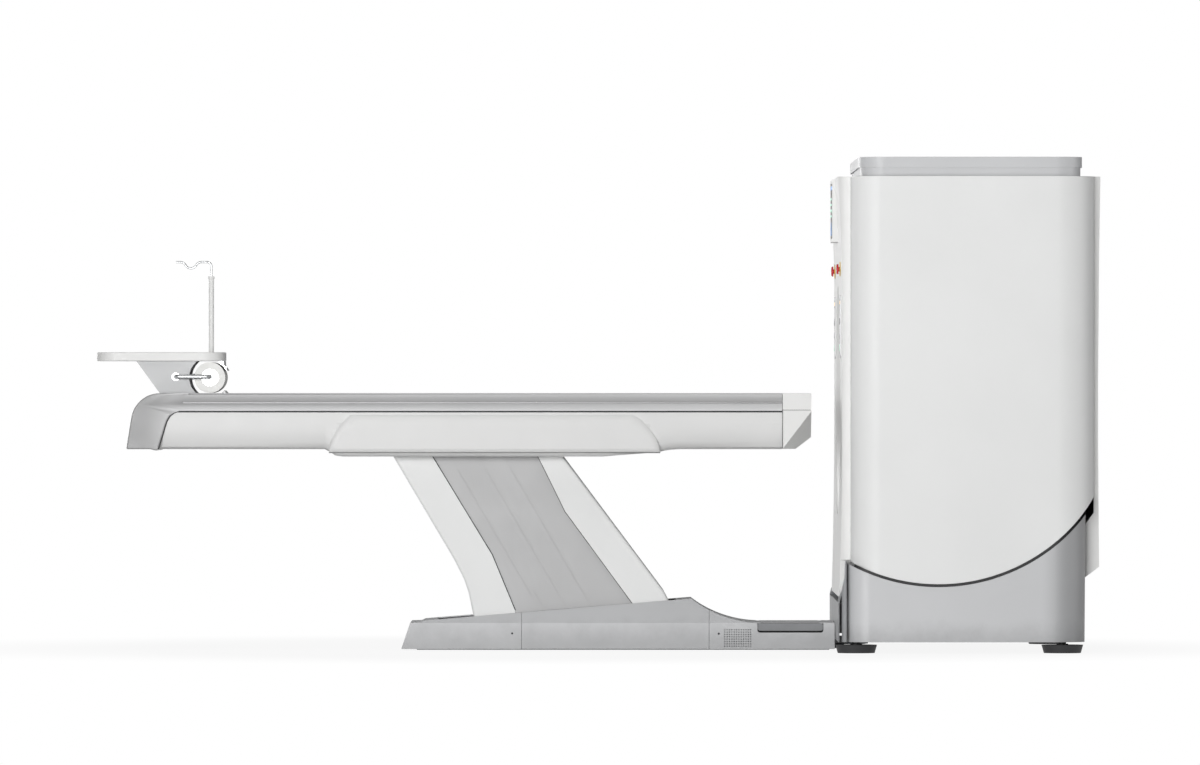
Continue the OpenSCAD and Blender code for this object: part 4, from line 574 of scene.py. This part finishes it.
# Each apron: its lower pin, the corners across and along the arm, the distances across, and its body
APRONS = {
    "rear_apron": (REAR_PIN, (44, 152), (-44, 30), (187.9, 189.5), "rear_link"),
    "front_apron": (PANEL_PIN, (38, 78), (24, 330), (179.8, 181.4), "panel_link_3"),
    "top_apron": (FRONT_PIN, (-84, -24), (735, 800), (177.2, 179.0), "front_link"),
}
PEDAL_X = -549
for side, name in SIDE_NAMES.items():
    for apron, (pin, (u0, u1), (v0, v1), (y0, y1), body) in APRONS.items():
        corners = in_arm_plane(pin, [(u0, v0), (u1, v0), (u1, v1), (u0, v1)])
        plate(f"{apron}_{name}", corners, side * y0, side * y1, FINISH["panel_grey"], body)
    # Painted shadow: a thin black line down each cover's inner edge.
    shadow_line = (side * 190, side * 193.6, SEAL_AND_SHADE)
    ribbon(f"rear_lip_{name}", in_arm_plane(REAR_PIN, REAR_SHADOW_LINE), 1.6, *shadow_line, "rear_link")
    ribbon(f"front_lip_{name}", in_arm_plane(FRONT_PIN, FRONT_SHADOW_LINE), 1.0, *shadow_line, "front_link")
    # Painted shade: a dark strip behind the foot pedal.
    block(f"pedal_shade_back_{name}", (PEDAL_X - 128, side * 234, 58), (PEDAL_X + 128, side * 235.5, 101),
          0, SEAL_AND_SHADE, "base")
# Painted shade: dark pans under the openings of the two bases.
for name, node, z in (("table_shade_pan", "table_base_frame", 6), ("gantry_shade_pan", "gantry_base_frame", 45)):
    low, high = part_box(node)
    block(name, (along(low.x) + 12, low.y / MM + 25, z), (along(high.x) - 12, high.y / MM - 25, z + 2),
          0, SEAL_AND_SHADE, "base")
print("column and bases closed")

# %% [markdown]
# ## Read-out, keys and buttons
# The screen above the bore shows a plain table of values, a bar chart and one wave, all as thin lit
# shapes that lie a hair in front of the glass.

# %% Lit shapes
def lit(name, colour, strength):
    """A shape that glows by itself."""
    made, tree, shader, coords = new_finish(name)
    flicker = ramp(tree, noise(tree, coords, 40.0), tone(colour, 0.85), colour)
    tree.links.new(flicker, shader.inputs["Base Color"])
    tree.links.new(flicker, shader.inputs["Emission Color"])
    shader.inputs["Emission Strength"].default_value = strength
    shader.inputs["Roughness"].default_value = 0.3
    return made


GLOW_WHITE = lit("glow_white", (0.75, 0.85, 0.9), 0.9)
GLOW_GREEN = lit("glow_green", (0.12, 0.75, 0.35), 0.9)
GLOW_AMBER = lit("glow_amber", (0.95, 0.55, 0.08), 0.9)
GLOW_BLUE = lit("glow_blue", (0.06, 0.22, 0.55), 0.7)
GLASS = sprayed("display_glass", (0.008, 0.010, 0.014), gloss=0.10, peel=0.0, coat=0.8)
FLAT_FRONT = -361
SCREEN_X = FLAT_FRONT - 25.0
block("screen_glass", (SCREEN_X - 0.6, -197, 1575), (SCREEN_X, 197, 1785), 0.3, GLASS, "tilting_gantry")


def lit_bar(name, y, z, width, height, finish):
    """A lit bar on the screen, from its lower corner."""
    block(name, (SCREEN_X - 1.0, y, z), (SCREEN_X - 0.4, y + width, z + height), 0.1, finish,
          "tilting_gantry", 1)


lit_bar("screen_header", -188, 1762, 376, 14, GLOW_BLUE)
for row in range(4):
    for k, (width, glow) in enumerate(((44, GLOW_WHITE), (26, GLOW_GREEN), (34, GLOW_GREEN))):
        lit_bar(f"screen_word_{row}_{k}", 40 + k * 50, 1724 - row * 22, width, 8, glow)
for k, tall in enumerate((30, 52, 44, 66, 58, 38)):
    lit_bar(f"screen_column_{k}", 50 + k * 22, 1588, 12, tall * 0.8, GLOW_BLUE)
BEAT = 40


def wave_lift(step):
    """Height of the wave at a step: a slow swell, with one sharp peak and dip in every beat."""
    beat = step % BEAT
    sharp = {18: 34, 20: -12}
    return sharp.get(beat, 7 * math.sin(beat / BEAT * math.tau))


bm = bmesh.new()
pairs = []
for step in range(3 * BEAT + 1):
    y, z = -180 + step * 1.6, 1680 + wave_lift(step)
    pairs.append([bm.verts.new(at(SCREEN_X - 0.9, y, edge)) for edge in (z - 1.2, z + 1.2)])
for a, b in zip(pairs, pairs[1:]):
    bm.faces.new((a[0], b[0], b[1], a[1]))
finished("screen_wave", bm, GLOW_GREEN, "tilting_gantry")
print("screen made")

# %% [markdown]
# Each of the four key plates has nine domed keys in their wells, and a dark window with a lit read-out
# of four bars. The middle key of the lowest row glows green.

# %% Keys
KEY_GREY = sprayed("key_grey", (0.42, 0.43, 0.44), gloss=0.4)
KEY_DARK = sprayed("key_dark", (0.10, 0.105, 0.11), gloss=0.4)
PLATE_Y = 560
FRONT_PLATE = FLAT_FRONT - 4.3
REAR_PLATE = along(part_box("control_panels")[1].x)


def key_finish(row, col):
    """The finish of a key: grey, with a dark top row and one green key below."""
    if (row, col) == (0, 0):
        return GLOW_GREEN
    return KEY_DARK if row == 2 else KEY_GREY


for end, plate_x, z0, look in (("front", FRONT_PLATE, 1115, -1), ("rear", REAR_PLATE, 1104, 1)):
    for side, side_name in SIDE_NAMES.items():
        tag = f"{end}_{side_name}"
        for row in range(3):
            for col in (-1, 0, 1):
                centre = (plate_x - look * 0.1, side * (PLATE_Y + col * 36), z0 + 40 + row * 50)
                disc(f"key_{tag}_{row}{col + 1}", centre, 12.2, 2.2, (look, 0, 0), key_finish(row, col),
                     "tilting_gantry", dome=0.4)
        middle = side * PLATE_Y
        block(f"window_{tag}", (plate_x - look * 1.4, middle - 49.5, z0 + 196.5),
              (plate_x - look * 0.4, middle + 49.5, z0 + 225.5), 0.3, GLASS, "tilting_gantry")
        for k, width in enumerate((14, 14, 8, 14)):
            start = middle - 36 + k * 19
            block(f"digits_{tag}_{k}", (plate_x - look * 0.5, start, z0 + 205),
                  (plate_x - look * 0.2, start + width, z0 + 218), 0.1, GLOW_AMBER, "tilting_gantry", 1)
print("keys made")

# %% [markdown]
# ## Bore, screws and grilles
# A ring of dark, thin film runs round the bore where the beam passes, between two black edges. The
# table covers are held by socket screws, each with a black hexagon of painted shade for its socket, a
# dark sheet behind their cooling holes is painted shade for the inside of the cover, and each foot
# pedal has five ribs to tread on.

# %% Small fittings
def band_ring(name, x_from, x_to, radius, finish, body, sides=192):
    """A thin band round the bore, between two distances from the isocentre."""
    bm = bmesh.new()
    axis_z = ISO.z / MM
    turns = [math.tau * k / sides for k in range(sides)]
    near, far = [[bm.verts.new(at(x, radius * math.cos(a), axis_z + radius * math.sin(a))) for a in turns]
                 for x in (x_from, x_to)]
    for k in range(sides):
        bm.faces.new((near[k], near[(k + 1) % sides], far[(k + 1) % sides], far[k]))
    return finished(name, bm, finish, body, sharp=180)


beam_low, beam_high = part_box("detector")
beam_x = along((beam_low.x + beam_high.x) / 2)
WINDOW_HALF = 34
FILM = sprayed("beam_window_film", (0.16, 0.17, 0.18), gloss=0.22, coat=0.5)
band_ring("beam_window", beam_x - WINDOW_HALF, beam_x + WINDOW_HALF, 349.4, FILM, "tilting_gantry")
for end, edge_x in (("front", beam_x - WINDOW_HALF - 2), ("back", beam_x + WINDOW_HALF + 2)):
    band_ring(f"beam_window_edge_{end}", edge_x - 1.2, edge_x + 1.2, 349.2, SEAL_AND_SHADE, "tilting_gantry")
SCREW = brushed("socket_screw", (0.05, 0.05, 0.055), gloss=0.3)
for side, name in SIDE_NAMES.items():
    outward = (0, side, 0)
    for x, z in ((-1613, 63), (-823, 62)):
        screw = f"cover_screw_{name}_{abs(x)}"
        disc(screw, (x, side * 297.0, z), 3.7, 3.0, outward, SCREW, "base", sides=24)
        # Painted shade: a black hexagon for the screw's socket.
        disc(screw + "_socket", (x, side * 298.45, z), 1.9, 0.3, outward, SEAL_AND_SHADE, "base", sides=6)
    # Painted shade: a dark sheet behind the cooling holes.
    block(f"grille_shade_sheet_{name}", (-806, side * 291.5, 8), (-694, side * 293.2, 84), 0, SEAL_AND_SHADE, "base")
    for k in range(5):
        block(f"pedal_rib_{name}_{k}", (PEDAL_X - 112, side * (248 + k * 11), 101.6),
              (PEDAL_X + 112, side * (252 + k * 11), 102.6), 0.4, SEAL_AND_SHADE, f"{name}_pedal")
print("fittings made")

# %% [markdown]
# ## Room, light and camera
# The machine stands on a pale studio floor. Far from the machine the floor is as white as the
# background, and close to it part of an ordinary matt floor keeps the soft shadow. The room gives light
# that is strongest at the horizon, and looks plain white past everything.

# %% Floor and background
def studio_floor():
    """A matt floor that turns into plain white away from the machine."""
    bm = bmesh.new()
    bmesh.ops.create_grid(bm, x_segments=2, y_segments=2, size=14.0)
    mesh = bpy.data.meshes.new("studio_floor")
    bm.to_mesh(mesh)
    bm.free()
    made, tree, shader, coords = new_finish("studio_floor")
    shader.inputs["Roughness"].default_value = 0.9
    grain = ramp(tree, noise(tree, coords, 3.0), (0.56, 0.56, 0.56), (0.58, 0.58, 0.58))
    tree.links.new(grain, shader.inputs["Base Color"])
    white = tree.nodes.new("ShaderNodeEmission")
    white.inputs["Strength"].default_value = 1.0
    length = tree.nodes.new("ShaderNodeVectorMath")
    length.operation = "LENGTH"
    tree.links.new(coords, length.inputs[0])
    far = tree.nodes.new("ShaderNodeMapRange")
    far.interpolation_type = "SMOOTHSTEP"
    far.inputs["From Min"].default_value = 1.6
    far.inputs["From Max"].default_value = 3.2
    far.inputs["To Min"].default_value = 0.90
    tree.links.new(length.outputs["Value"], far.inputs["Value"])
    seen = tree.nodes.new("ShaderNodeLightPath")
    either = tree.nodes.new("ShaderNodeMath")
    either.operation = "MAXIMUM"
    tree.links.new(seen.outputs["Is Camera Ray"], either.inputs[0])
    tree.links.new(seen.outputs["Is Glossy Ray"], either.inputs[1])
    mask = tree.nodes.new("ShaderNodeMath")
    mask.operation = "MULTIPLY"
    tree.links.new(either.outputs["Value"], mask.inputs[0])
    tree.links.new(far.outputs["Result"], mask.inputs[1])
    mix = tree.nodes.new("ShaderNodeMixShader")
    tree.links.new(mask.outputs["Value"], mix.inputs["Fac"])
    tree.links.new(shader.outputs["BSDF"], mix.inputs[1])
    tree.links.new(white.outputs["Emission"], mix.inputs[2])
    tree.links.new(mix.outputs["Shader"], tree.nodes["Material Output"].inputs["Surface"])
    mesh.materials.append(made)
    floor = bpy.data.objects.new("studio_floor", mesh)
    bpy.context.scene.collection.objects.link(floor)
    floor.location.z = -0.0005


def white_room(level):
    """World light that is strongest at the horizon, and plain white where the camera looks past things."""
    world = bpy.data.worlds.new("white_room")
    bpy.context.scene.world = world
    world.use_nodes = True
    tree = world.node_tree
    glow = tree.nodes["Background"]
    glow.inputs["Color"].default_value = (1.0, 1.0, 1.0, 1.0)
    split = tree.nodes.new("ShaderNodeSeparateXYZ")
    tree.links.new(tree.nodes.new("ShaderNodeTexCoord").outputs["Generated"], split.inputs["Vector"])
    rise = tree.nodes.new("ShaderNodeMapRange")
    rise.inputs["From Min"].default_value = 0.0
    rise.inputs["From Max"].default_value = 0.9
    rise.inputs["To Min"].default_value = level
    rise.inputs["To Max"].default_value = level * 0.3
    tree.links.new(split.outputs["Z"], rise.inputs["Value"])
    tree.links.new(rise.outputs["Result"], glow.inputs["Strength"])
    white = tree.nodes.new("ShaderNodeBackground")
    white.inputs["Color"].default_value = (1.0, 1.0, 1.0, 1.0)
    white.inputs["Strength"].default_value = 1.0
    seen = tree.nodes.new("ShaderNodeLightPath")
    any_look = tree.nodes.new("ShaderNodeMath")
    any_look.operation = "MAXIMUM"
    tree.links.new(seen.outputs["Is Camera Ray"], any_look.inputs[0])
    tree.links.new(seen.outputs["Is Transmission Ray"], any_look.inputs[1])
    mix = tree.nodes.new("ShaderNodeMixShader")
    tree.links.new(any_look.outputs["Value"], mix.inputs["Fac"])
    tree.links.new(glow.outputs["Background"], mix.inputs[1])
    tree.links.new(white.outputs["Background"], mix.inputs[2])
    tree.links.new(mix.outputs["Shader"], tree.nodes["World Output"].inputs["Surface"])


studio_floor()
white_room(0.26)
print("room ready")

# %% [markdown]
# A big soft lamp at the table's side gives the covers their gradient, and a weaker one from above lifts
# the top faces. Two more, behind the machine and beyond the gantry, keep the far sides readable. Their
# power is set so that a white cover renders just under full white.

# %% Lamps
def soft_lamp(name, place_at, aim, size, power):
    """A rectangular lamp that looks at a place."""
    data = bpy.data.lights.new(name, "AREA")
    data.shape = "RECTANGLE"
    data.size, data.size_y = size
    data.energy = power
    lamp = bpy.data.objects.new(name, data)
    bpy.context.scene.collection.objects.link(lamp)
    lamp.location = place_at
    lamp.rotation_euler = (Vector(aim) - Vector(place_at)).to_track_quat("-Z", "Y").to_euler()


soft_lamp("key_lamp", (-3.2, -12.0, 1.8), (0.2, 0.0, 0.9), (7.0, 4.0), 1020)
soft_lamp("top_lamp", (0.0, -1.5, 5.5), (0.0, 0.0, 0.0), (6.0, 4.0), 60)
soft_lamp("back_lamp", (-5.0, 9.0, 3.2), (0.3, 0.0, 0.9), (6.0, 4.0), 420)
soft_lamp("rear_lamp", (10.0, -2.5, 2.6), (1.3, 0.0, 0.9), (5.0, 3.0), 160)

# %% [markdown]
# The machine is seen square from its side, from far away, so a long lens far back gives almost no
# perspective.

# %% Camera
LENS = 400.0
SENSOR = 36.0
VIEW_WIDTH = 4.56
VIEW_CENTRE = Vector((ISO.x - 1.277, -0.6, 1.022))
data = bpy.data.cameras.new("side_camera")
data.lens = LENS
data.sensor_width = SENSOR
data.clip_end = 200.0
camera = bpy.data.objects.new("side_camera", data)
bpy.context.scene.collection.objects.link(camera)
camera.location = VIEW_CENTRE - Vector((0.0, VIEW_WIDTH * LENS / SENSOR, 0.0))
camera.rotation_euler = (math.radians(90), 0.0, 0.0)
bpy.context.scene.camera = camera
bpy.context.scene.view_settings.view_transform = "Standard"
print("camera at", tuple(camera.location))
